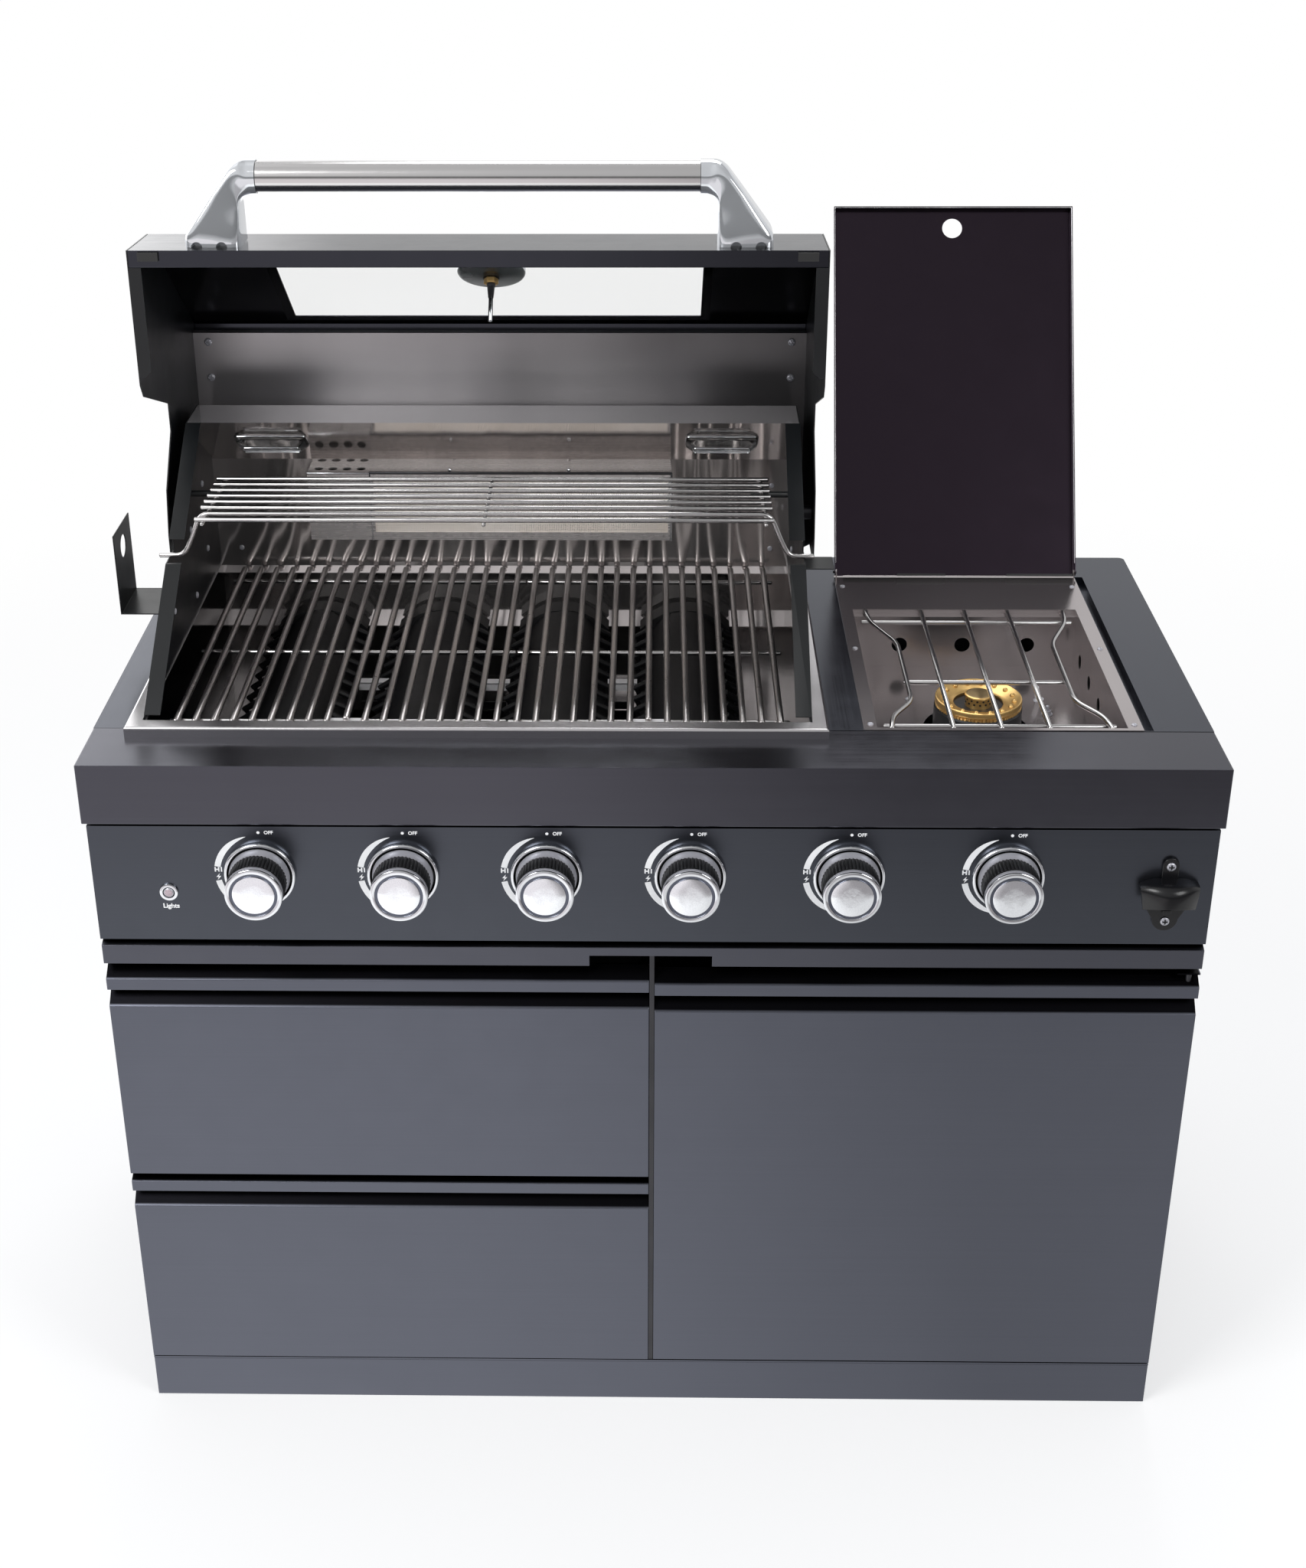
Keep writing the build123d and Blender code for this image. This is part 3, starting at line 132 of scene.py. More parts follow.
class Paint(Nodes):
    # one material with its principled shader

    def __init__(self, name, **sockets):
        self.material = bpy.data.materials.new(name)
        self.material.use_nodes = True
        super().__init__(self.material.node_tree)
        self.shader = self.tree.nodes["Principled BSDF"]
        self.out = self.tree.nodes["Material Output"]
        for key, value in sockets.items():
            self.shader.inputs[key.replace("_", " ")].default_value = value

    def place(self, stretch=(1, 1, 1)):
        coords = self.node("ShaderNodeTexCoord")
        mapping = self.node("ShaderNodeMapping", {"Vector": coords.outputs["Object"]})
        mapping.inputs["Scale"].default_value = stretch
        return mapping.outputs["Vector"]

    def noise(self, stretch, scale=1.0, detail=3.0, rough=0.6):
        made = self.node("ShaderNodeTexNoise", {"Vector": self.place(stretch)}, Scale=scale,
                         Detail=detail, Roughness=rough)
        return made.outputs["Fac"]

    def mix(self, factor, first, second):
        made = self.node("ShaderNodeMix", data_type="RGBA")
        for socket, value in ((made.inputs["Factor"], factor), (made.inputs[6], first),
                              (made.inputs[7], second)):
            if isinstance(value, tuple):
                socket.default_value = (*value, 1)
            elif isinstance(value, float):
                socket.default_value = value
            else:
                self.link(value, socket)
        return made.outputs[2]

    def bump(self, height, distance, strength=1.0, normal=None):
        made = self.node("ShaderNodeBump", {"Height": height}, Distance=distance,
                         Strength=strength)
        if normal is not None:
            self.link(normal, made.inputs["Normal"])
        return made.outputs["Normal"]

    def use(self, **sources):
        for key, source in sources.items():
            self.link(source, self.shader.inputs[key.replace("_", " ")])
        return self.material


joints = {joint["name"]: joint for joint in frame["joints"]}
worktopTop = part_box("head_rim")[0][2]
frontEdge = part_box("worktop_front")[0][1]
hingeY, hingeZ = joints["hood_hinge"]["pos_m"][1:]


def scaled(colour, k):
    return tuple(min(1.0, c * k) for c in colour)


# near-black colour painted as shade in the finger pulls and on the inner sides of the gables
paintedShade = (0.004, 0.004, 0.005)


def brushedMetal(name, s):
    # fine parallel grain, slow tone bands across it and faint hand marks
    p = Paint(name, Metallic=s.get("metal", 1.0))
    grain = p.noise(s["grain"], 1.0, 4.0, 0.7)
    bands = p.noise(s["bands"], 1.0, 2.0, 0.5)
    marks = p.noise((26, 26, 26), 1.0, 5.0, 0.6)
    tone = p.mix(p.ramp(bands, 0, 1), scaled(s["colour"], 1 - s["tone"]),
                 scaled(s["colour"], 1 + s["tone"]))
    lined = p.mix(p.ramp(grain, 0, 1, 0.25, 0.75), scaled(s["colour"], 0.8),
                  scaled(s["colour"], 1.2))
    colour = p.mix(s["lines"], tone, lined)
    grit = s.get("grit", 0.03)
    rough = p.maths("ADD", p.ramp(grain, -grit, grit),
                    p.ramp(marks, s["rough"] - grit / 3, s["rough"] + grit))
    normal = p.bump(grain, s["depth"], 0.4)
    if "ripple" in s:        # a pressed sheet that isn't quite flat, but stiff along its folds
        stretch, height = s["ripple"]
        normal = p.bump(p.noise(stretch, 1.0, 0.6, 0.3), height, 1.0, normal)
        stiff = p.ramp(p.axis("Normal", "Z"), 1, 0, 0.85, 0.95)
        p.link(stiff, normal.node.inputs["Strength"])
    if "pull" in s:          # painted shade deepens behind the front face, in the finger pulls
        start, end = (v / 1000 + frontEdge for v in s["pull"])
        colour = p.mix(p.ramp(p.axis("Object", "Y"), 0, 1, start, end), colour, paintedShade)
    if "fade" in s:          # painted shade that deepens from left to right, in place of the liner's uneven reflection
        start, end, amount = s["fade"]
        shadeRamp = p.mix(p.ramp(p.axis("Object", "X"), 0, 1, start, end), (1, 1, 1), (amount,) * 3)
        dimmed = p.node("ShaderNodeVectorMath", {0: colour, 1: shadeRamp}, operation="MULTIPLY")
        colour = dimmed.outputs[0]
    if "inside" in s:        # the inner sides of the gables lie in shade
        reach = p.maths("ABSOLUTE", p.axis("Object", "X"))
        colour = p.mix(p.ramp(reach, 0, 1, *s["inside"]), paintedShade, colour)
    if "tops" in s:          # painted light: faces that look up are lightened, as if lit from above
        colour = p.mix(p.ramp(p.axis("Normal", "Z"), 0, 1, 0.25, 0.4), colour, s["tops"])
    if "sides" in s:         # walls that face left or right carry baked-on soot
        facing = p.maths("ABSOLUTE", p.axis("Normal", "X"))
        colour = p.mix(p.ramp(facing, 0, 1, 0.5, 0.8), colour, s["sides"])
    return p.use(Base_Color=colour, Roughness=rough, Normal=normal)


# how tightly the grain is packed along x, y and z, and the slow bands likewise
grainX, grainY, grainZ = (3, 700, 700), (700, 3, 700), (700, 700, 3)
bandsX, plain = (2.2, 0.6, 0.5), (20, 20, 20)
painted = {"grain": grainX, "bands": bandsX, "tone": 0.05, "lines": 0.2, "rough": 0.33,
           "depth": 0.00004}
glossy = {**painted, "lines": 0.15, "depth": 0.00002}
wiry = {"grain": (300, 300, 300), "bands": (6, 3, 3), "tone": 0.08, "lines": 0.05,
        "rough": 0.22, "depth": 0.00001, "grit": 0.01}
sheetSteel = {"grain": grainX, "bands": (1.5, 4, 3), "tone": 0.04, "lines": 0.06,
              "rough": 0.22, "depth": 0.000005, "grit": 0.008}
plated = {"grain": (60, 60, 60), "bands": plain, "tone": 0.03, "lines": 0.1, "rough": 0.07,
          "depth": 0.00001}

metals = {
    # pull paints shade into the finger pulls behind the front face
    "fronts": ("front_steel", {**painted, "colour": (0.110, 0.116, 0.142), "pull": (3.2, 5.5)}),
    "carcass": ("carcass_steel", {**painted, "colour": (0.108, 0.114, 0.140)}),
    "gable": ("gable_steel", {**painted, "colour": (0.108, 0.114, 0.140), "grain": grainY,
              "inside": (0.6432, 0.6440)}),
    "panel": ("panel_steel", {**painted, "colour": (0.074, 0.080, 0.095), "rough": 0.30}),
    # pull paints shade into the recess behind the drip tray's front
    "drip": ("drip_tray_steel", {**painted, "colour": (0.092, 0.095, 0.114),
             "pull": (3.6, 9.0)}),
    "worktop": ("worktop_steel", {**glossy, "colour": (0.084, 0.085, 0.101), "rough": 0.20}),
    "lid": ("lid_steel", {**glossy, "colour": (0.035, 0.026, 0.036), "grain": grainY,
            "rough": 0.22}),
    "hood": ("hood_steel", {**glossy, "colour": (0.046, 0.048, 0.058), "rough": 0.18}),
    "deck": ("deck_steel", {**glossy, "colour": (0.070, 0.075, 0.092), "grain": grainY,
             "lines": 0.12, "rough": 0.22, "depth": 0.00001}),
    "steel": ("inner_steel", {**sheetSteel, "colour": (0.66, 0.645, 0.66)}),
    # fade paints shade that deepens towards the right, standing in for the liner's uneven
    # reflection
    "liner": ("liner_steel", {**sheetSteel, "colour": (0.44, 0.425, 0.435),
              "bands": (7, 1.2, 1.2), "tone": 0.12, "lines": 0.05, "rough": 0.34,
              "depth": 0.00001, "grit": 0.01, "metal": 0.85, "fade": (-0.42, 0.05, 0.40)}),
    # tops paints the upward faces lighter, as light from above would
    "wall": ("grill_steel", {"colour": (0.68, 0.64, 0.625), "grain": (260, 3, 3),
             "bands": (12, 0.6, 0.6), "tone": 0.08, "lines": 0.04, "rough": 0.09,
             "depth": 0.000004, "ripple": ((30, 0.7, 0.7), 0.0016), "metal": 0.9,
             "sides": (0.008, 0.008, 0.009), "tops": (0.97, 0.95, 0.97), "grit": 0.004}),
    "panSteel": ("burner_box_steel", {"colour": (0.66, 0.63, 0.62), "grain": grainX,
                 "bands": (6, 3, 3), "tone": 0.06, "lines": 0.1, "rough": 0.26,
                 "depth": 0.00001, "metal": 0.7}),
    "tray": ("tray_steel", {**sheetSteel, "colour": (0.46, 0.425, 0.425), "bands": (3, 3, 3),
             "tone": 0.05, "lines": 0.04, "rough": 0.17, "depth": 0.000004, "grit": 0.006,
             "metal": 0.9}),
    "tube": ("tube_steel", {**sheetSteel, "colour": (0.66, 0.65, 0.65), "bands": (1.2, 3, 3),
             "tone": 0.03, "lines": 0.05, "rough": 0.2, "depth": 0.000004, "grit": 0.006}),
    "rods": ("rod_steel", {**wiry, "colour": (0.50, 0.475, 0.47), "tone": 0.1, "rough": 0.28}),
    "wire": ("wire_steel", {**wiry, "colour": (0.52, 0.51, 0.51)}),
    "zinc": ("zinc_sheet", {"colour": (0.42, 0.43, 0.44), "grain": (90, 90, 90),
             "bands": (14, 14, 14), "tone": 0.15, "lines": 0.3, "rough": 0.45,
             "depth": 0.0002}),
    "darkSteel": ("dark_steel", {"colour": (0.06, 0.06, 0.065), "grain": grainZ,
                  "bands": (14, 14, 14), "tone": 0.15, "lines": 0.3, "rough": 0.35,
                  "depth": 0.0001}),
    "brass": ("turned_brass", {"colour": (0.76, 0.50, 0.19), "grain": (400, 400, 400),
              "bands": (40, 40, 40), "tone": 0.1, "lines": 0.2, "rough": 0.34,
              "depth": 0.00006, "metal": 0.85}),
    "dullBrass": ("sooted_brass", {"colour": (0.34, 0.25, 0.13), "grain": (400, 400, 400),
                  "bands": (60, 60, 60), "tone": 0.2, "lines": 0.2, "rough": 0.4,
                  "depth": 0.0001}),
    "chrome": ("chrome_plate", {**plated, "colour": (0.70, 0.715, 0.745)}),
    "post": ("cast_chrome", {**plated, "colour": (0.72, 0.74, 0.77), "lines": 0.05,
             "rough": 0.06, "grit": 0.006, "metal": 0.76}),
    "satin": ("satin_plate", {"colour": (0.46, 0.46, 0.50), "grain": (250, 250, 250),
              "bands": plain, "tone": 0.04, "lines": 0.15, "rough": 0.36, "depth": 0.00002,
              "metal": 0.45}),
    "clip": ("clip_steel", {"colour": (0.80, 0.79, 0.80), "grain": grainX, "bands": plain,
             "tone": 0.1, "lines": 0.1, "rough": 0.3, "depth": 0.00001, "metal": 0.3}),
    "ringGrey": ("knob_ring", {"colour": (0.125, 0.135, 0.17), "grain": (400, 400, 400),
                 "bands": plain, "tone": 0.05, "lines": 0.2, "rough": 0.3,
                 "depth": 0.00002}),
}
finish = {key: brushedMetal(name, s) for key, (name, s) in metals.items()}


def enamel(name, colour, rough, grit=0.0001, coat=0.25):
    # a smooth coat with a fine grain and slow changes of tone
    p = Paint(name, Metallic=0.0, Coat_Weight=coat, Coat_Roughness=0.15,
              Specular_IOR_Level=0.4)
    fine = p.noise((500, 500, 500), 1.0, 3.0)
    slow = p.noise((7, 7, 7), 1.0, 4.0)
    colourOut = p.mix(p.ramp(slow, 0, 1), scaled(colour, 0.85), scaled(colour, 1.15))
    return p.use(Base_Color=colourOut, Roughness=p.ramp(slow, rough - 0.05, rough + 0.08),
                 Normal=p.bump(fine, grit, 0.4))


finish["enamel"] = enamel("black_enamel", (0.006, 0.007, 0.008), 0.36, coat=0.0)
finish["tamer"] = enamel("sooted_enamel", (0.006, 0.006, 0.007), 0.44, coat=0.05)
finish["gloss"] = enamel("gloss_casting", (0.004, 0.004, 0.005), 0.2, 0.00005, 0.05)
finish["cast"] = enamel("black_casting", (0.020, 0.021, 0.023), 0.42, 0.0004)
finish["rubber"] = enamel("rubber_pad", (0.015, 0.015, 0.015), 0.6, 0.0003)
finish["grip"] = enamel("knob_grip", (0.010, 0.010, 0.011), 0.36, 0.00003, 0.1)
finish["print"] = enamel("white_print", (0.92, 0.93, 0.95), 0.5, 0.00002, 0.0)
finish["red"] = enamel("red_needle", (0.55, 0.03, 0.02), 0.4, 0.00002, 0.0)
finish["gaugeBack"] = enamel("gauge_back", (0.035, 0.045, 0.047), 0.3, 0.00003)


def filmFinish():
    # mirror centre of a knob under a thin wrinkled film
    p = Paint("filmed_mirror", Metallic=1.0, Coat_Weight=0.6, Coat_Roughness=0.05)
    folds = p.noise((70, 70, 70), 1.0, 3.0, 0.5)
    dust = p.noise((600, 600, 600), 1.0, 2.0)
    tone = p.mix(p.ramp(dust, 0, 1), (0.80, 0.82, 0.86), (0.88, 0.90, 0.93))
    return p.use(Base_Color=tone, Roughness=p.ramp(folds, 0.06, 0.2),
                 Normal=p.bump(folds, 0.0002, 0.5))


def lensFinish():
    # pale pinkish lens of the light switch
    p = Paint("switch_lens", Metallic=0.0, Roughness=0.25)
    speck = p.noise((900, 900, 900), 1.0, 2.0)
    lens = p.mix(p.ramp(speck, 0, 1), (0.42, 0.33, 0.36), (0.55, 0.46, 0.50))
    return p.use(Base_Color=lens)


finish["mirror"] = filmFinish()
finish["light"] = lensFinish()


def tileFinish():
    # ceramic plate pierced by a close grid of small holes, drawn as dark spots of painted shade
    # with a bump
    p = Paint("ceramic_tile", Metallic=0.0, Roughness=0.75)
    cells = p.node("ShaderNodeTexVoronoi", {"Vector": p.place((420, 1, 420))})
    cells.inputs["Scale"].default_value = 1.0
    cells.inputs["Randomness"].default_value = 0.15
    holes = p.ramp(cells.outputs["Distance"], 0, 1, 0.22, 0.36)
    stain = p.noise((9, 2, 16), 1.0, 3.0)
    clay = p.mix(p.ramp(stain, 0, 1), (0.78, 0.70, 0.62), (0.92, 0.86, 0.80))
    colour = p.mix(holes, (0.12, 0.10, 0.08), clay)
    return p.use(Base_Color=colour, Normal=p.bump(holes, 0.0006, 0.7))


finish["tile"] = tileFinish()


def glassFinish(name, colour, rough):
    # thin glass with a faint uneven smear
    p = Paint(name, Metallic=0.0, IOR=1.25, Base_Color=(*colour, 1), Transmission_Weight=1.0)
    smear = p.noise((30, 30, 30), 1.0, 4.0)
    return p.use(Roughness=p.ramp(smear, rough, rough + 0.03))


finish["window"] = glassFinish("window_glass", (0.995, 1.0, 0.998), 0.0)
finish["lamp"] = glassFinish("lamp_glass", (0.97, 0.98, 0.98), 0.02)

# the nodes that no piece below replaces
dress = {
    "fronts": ["drawer_front_upper", "drawer_front_lower", "door"],
    "carcass": ["plinth", "cabinet_floor"],
    "gable": ["gables"],
    "panel": ["control_panel"],
    "drip": ["drip_tray"],
    "worktop": ["worktop_front"],
    "lid": ["side_lid"],
    "hood": ["hood_shell"],
    "deck": ["worktop_deck"],
    "steel": ["head_rim", "main_burners"],
    "panSteel": ["rear_burner"],
    "liner": ["hood_liner"],
    "wall": ["firebox", "rear_wall"],
    "tray": ["side_burner_tray"],
    "darkSteel": ["centre_divider", "hinge_pins"],
    "zinc": ["cabinet_back", "fixed_runners", "drawer_box_upper", "drawer_box_lower",
             "gas_manifold"],
    "brass": ["gas_valves"] + [f"valve_spindle_{i}" for i in range(1, 7)],
    "enamel": ["head_side_plates", "hood_sides", "rotisserie_brackets"],
    "cast": ["side_burner"],
    "rubber": ["hood_bumpers"],
    "tile": ["rear_burner_tile"],
    "window": ["window_glass"],
}


def dressNodes():
    # one finish on each cad node, in place of what it came with
    for key, names in dress.items():
        for name in names:
            node = nodes[name]
            node.data.materials.clear()
            node.data.materials.append(finish[key])


dressNodes()
print("cad nodes dressed")


def middleOf(name):
    # centre of a cad node, in millimetres as toFrame takes them
    low, high = (np.asarray(corner, float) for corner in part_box(name))
    return (low + high) * 500 - np.array((0, frontEdge, worktopTop)) * 1000


headX = middleOf("head_rim")[0]


def toFrame(points):
    # millimetres to the frame: x from the middle, y back from the front edge, z above the worktop
    return np.asarray(points, float) / 1000 + np.array((0, frontEdge, worktopTop))


def openHood(points):
    # points of the shut hood, turned a quarter turn up and back about its hinge
    p = toFrame(points)
    y, z = p[..., 1] - hingeY, p[..., 2] - hingeZ
    return np.stack((p[..., 0], hingeY + z, hingeZ - y), -1)


def gridFaces(rows, columns, closed, start):
    # quads between neighbouring rows and columns of a grid of points
    i, j = np.meshgrid(np.arange(rows - 1), np.arange(columns if closed else columns - 1),
                       indexing="ij")
    k = (j + 1) % columns
    quads = np.stack((i * columns + j, i * columns + k, (i + 1) * columns + k,
                      (i + 1) * columns + j), -1)
    return (quads.reshape(-1, 4) + start).tolist()


class Piece:
    # gathers grids of points into one mesh, each with its own finish

    def __init__(self, name, body, place=toFrame):
        self.name, self.body, self.place = name, body, place
        self.points, self.faces, self.paints, self.used = [], [], [], []
        self.count = 0

    def paint(self, key, number):
        if key not in self.used:
            self.used.append(key)
        self.paints += [self.used.index(key)] * number

    def grid(self, points, key, closed=True, ends=True):
        points = np.asarray(points, float)
        rows, columns = points.shape[:2]
        faces = gridFaces(rows, columns, closed, self.count)
        if ends:
            faces.append(list(range(self.count, self.count + columns)))
            last = self.count + (rows - 1) * columns
            faces.append(list(range(last, last + columns)))
        self.points.append(points.reshape(-1, 3))
        self.faces += faces
        self.count += rows * columns
        self.paint(key, len(faces))
        return self

    def lathe(self, parts, centre, axis=(0, -1, 0), steps=64, waves=None, loop=False):
        # one closed turned body; each part is a finish and its stretch of the profile,
        # and a wave (radius by angle) may cut ribs into a part
        profile, keys, wave = [], [], []
        for number, (key, stretch) in enumerate(parts):
            fresh = list(stretch) if not profile else list(stretch[1:])
            keys += [key] * (len(fresh) if profile else len(fresh) - 1)
            profile += fresh
            ribs = (waves or {}).get(number)
            wave += [ribs] * len(fresh)
        points = turned(profile, centre, axis, steps, wave)
        rows = len(profile)
        faces = gridFaces(rows, steps, True, self.count)
        if loop:
            last, first = self.count + (rows - 1) * steps, self.count
            j = np.arange(steps)
            k = (j + 1) % steps
            faces += np.stack((last + j, last + k, first + k, first + j), -1).tolist()
            keys.append(parts[0][0])
        self.points.append(points.reshape(-1, 3))
        self.faces += faces
        for key in keys:
            self.paint(key, steps)
        if not loop:
            for start, key in ((self.count, keys[0]), (self.count + (rows - 1) * steps, keys[-1])):
                self.faces.append(list(range(start, start + steps)))
                self.paint(key, 1)
        self.count += rows * steps
        return self

    def make(self, *replaced, smooth=38):
        # puts the mesh into the scene, on its body, in place of the cad nodes it replaces
        mesh = bpy.data.meshes.new(self.name)
        points = self.place(np.concatenate(self.points))
        mesh.from_pydata(points.tolist(), [], self.faces)
        for key in self.used:
            mesh.materials.append(finish[key])
        mesh.polygons.foreach_set("material_index", self.paints)
        mesh.polygons.foreach_set("use_smooth", [True] * len(self.faces))
        outward(mesh)
        mesh.set_sharp_from_angle(angle=radians(smooth))
        made = bpy.data.objects.new(self.name, mesh)
        scene.collection.objects.link(made)
        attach(made, self.body)
        if replaced:
            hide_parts(*replaced)
        return made


def outward(mesh):
    # turns every face of the closed shells outwards
    work = bmesh.new()
    work.from_mesh(mesh)
    bmesh.ops.recalc_face_normals(work, faces=work.faces)
    work.to_mesh(mesh)
    work.free()


def roundEdges(made, width, weld=False):
    # rolled edges that catch the light
    if weld:
        join = made.modifiers.new("join", "WELD")
        join.merge_threshold = 0.00002
    bevel = made.modifiers.new("edges", "BEVEL")
    bevel.width = width
    bevel.segments = 2
    bevel.limit_method = "ANGLE"
    bevel.angle_limit = radians(35)
    bevel.harden_normals = not weld


def squareTo(axis):
    # the axis at unit length, and two unit directions square to it
    axis = np.asarray(axis, float) / np.linalg.norm(axis)
    side = np.cross(axis, (0, 0, 1) if abs(axis[2]) < 0.9 else (0, 1, 0))
    side = side / np.linalg.norm(side)
    return axis, side, np.cross(axis, side)


def turned(profile, centre, axis=(0, -1, 0), steps=64, wave=None):
    # a profile of (along, radius) pairs turned about an axis; wave adds to the radius by angle
    profile = np.asarray(profile, float)
    axis, side, third = squareTo(axis)
    angle = np.arange(steps) * 2 * pi / steps
    radius = profile[:, 1:2] * np.ones(steps)
    for row, ribs in enumerate(wave or ()):
        if ribs is not None:
            radius[row] += ribs(angle)
    ring = np.cos(angle)[:, None] * side + np.sin(angle)[:, None] * third
    return (np.asarray(centre, float) + profile[:, None, :1] * axis + radius[..., None] * ring)


def rounded(points, radius, steps=5):
    # a path whose corners are replaced by short curves that touch both runs
    points = np.asarray(points, float)
    path = [points[:1]]
    t = np.linspace(0, 1, steps + 1)[:, None]
    for a, b, c in zip(points, points[1:], points[2:]):
        reach = min(radius, np.linalg.norm(a - b) / 2.05, np.linalg.norm(c - b) / 2.05)
        start = b + (a - b) / np.linalg.norm(a - b) * reach
        end = b + (c - b) / np.linalg.norm(c - b) * reach
        path.append((1 - t) ** 2 * start + 2 * t * (1 - t) * b + t ** 2 * end)
    path.append(points[-1:])
    return np.concatenate(path)


def rod(points, radius, steps=12, bend=0, blunt=0.5):
    # a wire swept along a path; its ends are domed by blunt times the radius
    path = rounded(points, bend) if bend else np.asarray(points, float)
    ahead = np.gradient(path, axis=0)
    ahead /= np.linalg.norm(ahead, axis=1)[:, None]
    guess = np.array((0.0, 0, 1)) if abs(ahead[:, 2]).max() < 0.95 else np.array((0.31, 0.2, 0.93))
    side = np.cross(ahead, guess)
    side /= np.linalg.norm(side, axis=1)[:, None]
    third = np.cross(ahead, side)
    dome = np.radians((75, 50, 25))
    first = path[0] - ahead[0] * (radius * blunt * np.sin(dome))[:, None]
    last = path[-1] + ahead[-1] * (radius * blunt * np.sin(dome[::-1]))[:, None]
    centre = np.concatenate((first, path, last))
    size = np.concatenate((np.cos(dome), np.ones(len(path)), np.cos(dome[::-1]))) * radius
    spread = [np.repeat(v[:1], 3, 0).tolist() + v.tolist() + np.repeat(v[-1:], 3, 0).tolist()
              for v in (side, third)]
    side, third = (np.asarray(v) for v in spread)
    angle = np.arange(steps) * 2 * pi / steps
    ring = (np.cos(angle)[None, :, None] * side[:, None]
            + np.sin(angle)[None, :, None] * third[:, None])
    return centre[:, None] + size[:, None, None] * ring


def panHead(centre, axis, radius=4.0, height=2.0):
    # a screw head with a cross recess: a flat edge, and a dome whose height follows the root
    # of one less the square of the radius
    steps = 24
    angle = np.arange(steps) * 2 * pi / steps
    axis, side, third = squareTo(axis)
    inwards = np.linspace(1.0, 0.04, 7)
    r = np.concatenate(((1.0,), inwards))
    lift = np.concatenate(((0.0,), np.sqrt(1 - inwards ** 2) * 0.6 + 0.4))
    u = r[:, None] * np.cos(angle)
    v = r[:, None] * np.sin(angle)
    cross = (np.minimum(abs(u), abs(v)) < 0.14) & (np.hypot(u, v) < 0.62)
    h = lift[:, None] * np.ones(steps) - 0.45 * cross
    h[0] = 0
    return (np.asarray(centre, float) + radius * (u[..., None] * side + v[..., None] * third)
            + height * h[..., None] * axis)


def sheet(outline, back, front):
    # a flat plate: an outline in x and z, closed between two depths
    outline = np.asarray(outline, float)
    return np.stack([np.column_stack((outline[:, 0], np.full(len(outline), y), outline[:, 1]))
                     for y in (back, front)])


def bar(low, high):
    # a straight bar between two corners: the four corners of its ends, along x
    (x0, y0, z0), (x1, y1, z1) = low, high
    return [[(x, y0, z0), (x, y1, z0), (x, y1, z1), (x, y0, z1)] for x in (x0, x1)]


knobs = {
    "xs": [middleOf(f"knob_{i}")[0] for i in range(1, 7)],
    "height": middleOf("knob_1")[2],
    "ribs": 48,
    "ribDepth": 1.6,
    "parts": (
        ("satin", ((4.6, 0.3), (4.6, 34.2), (5.2, 35.2), (6.6, 35.2), (14.6, 33.3),
                   (15.0, 32.0))),
        ("grip", ((15.0, 32.0), (15.4, 33.0), (16.4, 33.4), (28, 33.4), (38.2, 33.4),
                  (39.0, 33.0))),
        ("grip", ((39.0, 33.0), (39.2, 31.2), (40.4, 31.2))),
        ("satin", ((40.4, 31.2), (40.6, 32.4), (41.2, 32.8), (45.6, 32.8), (46.2, 32.5))),
        ("grip", ((46.2, 32.5), (46.3, 31.0), (47.4, 31.0))),
        ("chrome", ((47.4, 31.0), (47.5, 32.2), (48.1, 32.9), (48.8, 32.8), (49.4, 32.1),
                    (49.6, 31.2), (49.6, 28.4), (49.2, 27.6), (48.4, 27.3))),
        ("ringGrey", ((48.4, 27.3), (48.3, 24.2))),
        ("mirror", ((48.3, 24.2), (49.0, 24.0), (49.3, 23.2), (49.5, 12), (49.5, 0.3))),
    ),
    "bezel": (("chrome", ((-1.9, 40.6), (0.4, 41.4), (3.4, 41.5), (5.2, 40.7), (5.9, 39.4),
                          (5.7, 38.0), (4.6, 37.0), (1.0, 36.7))),
              ("enamel", ((1.0, 36.7), (-1.0, 36.0), (-1.0, 4.4), (-1.9, 4.4)))),
}


def makeKnobs(s):
    # turned caps whose grip is cut by ribs: the radius drops by the square of a raised cosine
    steps = s["ribs"] * 6
    ribs = {1: lambda a: -s["ribDepth"] * (0.5 + 0.5 * np.cos(s["ribs"] * a)) ** 2}
    bezels = Piece("knob_bezels_dressed", "root")
    for number, x in enumerate(s["xs"], 1):
        centre = (x, 0, s["height"])
        knob = Piece(f"knob_{number}_dressed", f"knob_{number}")
        knob.lathe(s["parts"], centre, steps=steps, waves=ribs)
        knob.make(f"knob_{number}")
        bezels.lathe(s["bezel"], centre, steps=96, loop=True)
    bezels.make("knob_bezels")


lightSwitch = {
    "place": middleOf("light_button") * (1, 0, 1),
    "ring": (("chrome", ((-1.9, 10.4), (-0.4, 10.9), (0.6, 10.4), (1.0, 9.4), (0.8, 7.2),
                         (-1.0, 6.6))),),
    "button": (("satin", ((-15, 0.3), (-15, 5.9), (0.6, 5.9), (1.2, 5.4), (1.5, 4.6))),
               ("light", ((1.5, 4.6), (1.9, 4.2), (2.3, 2.4), (2.4, 0.3)))),
}


def makeLightSwitch(s):
    # a turned ring that stays and a turned button that slides in it
    ring = Piece("light_switch_ring", "root")
    ring.lathe(s["ring"], s["place"], steps=48, loop=True).make()
    button = Piece("light_button_dressed", "light_button")
    button.lathe(s["button"], s["place"], steps=48).make("light_button")


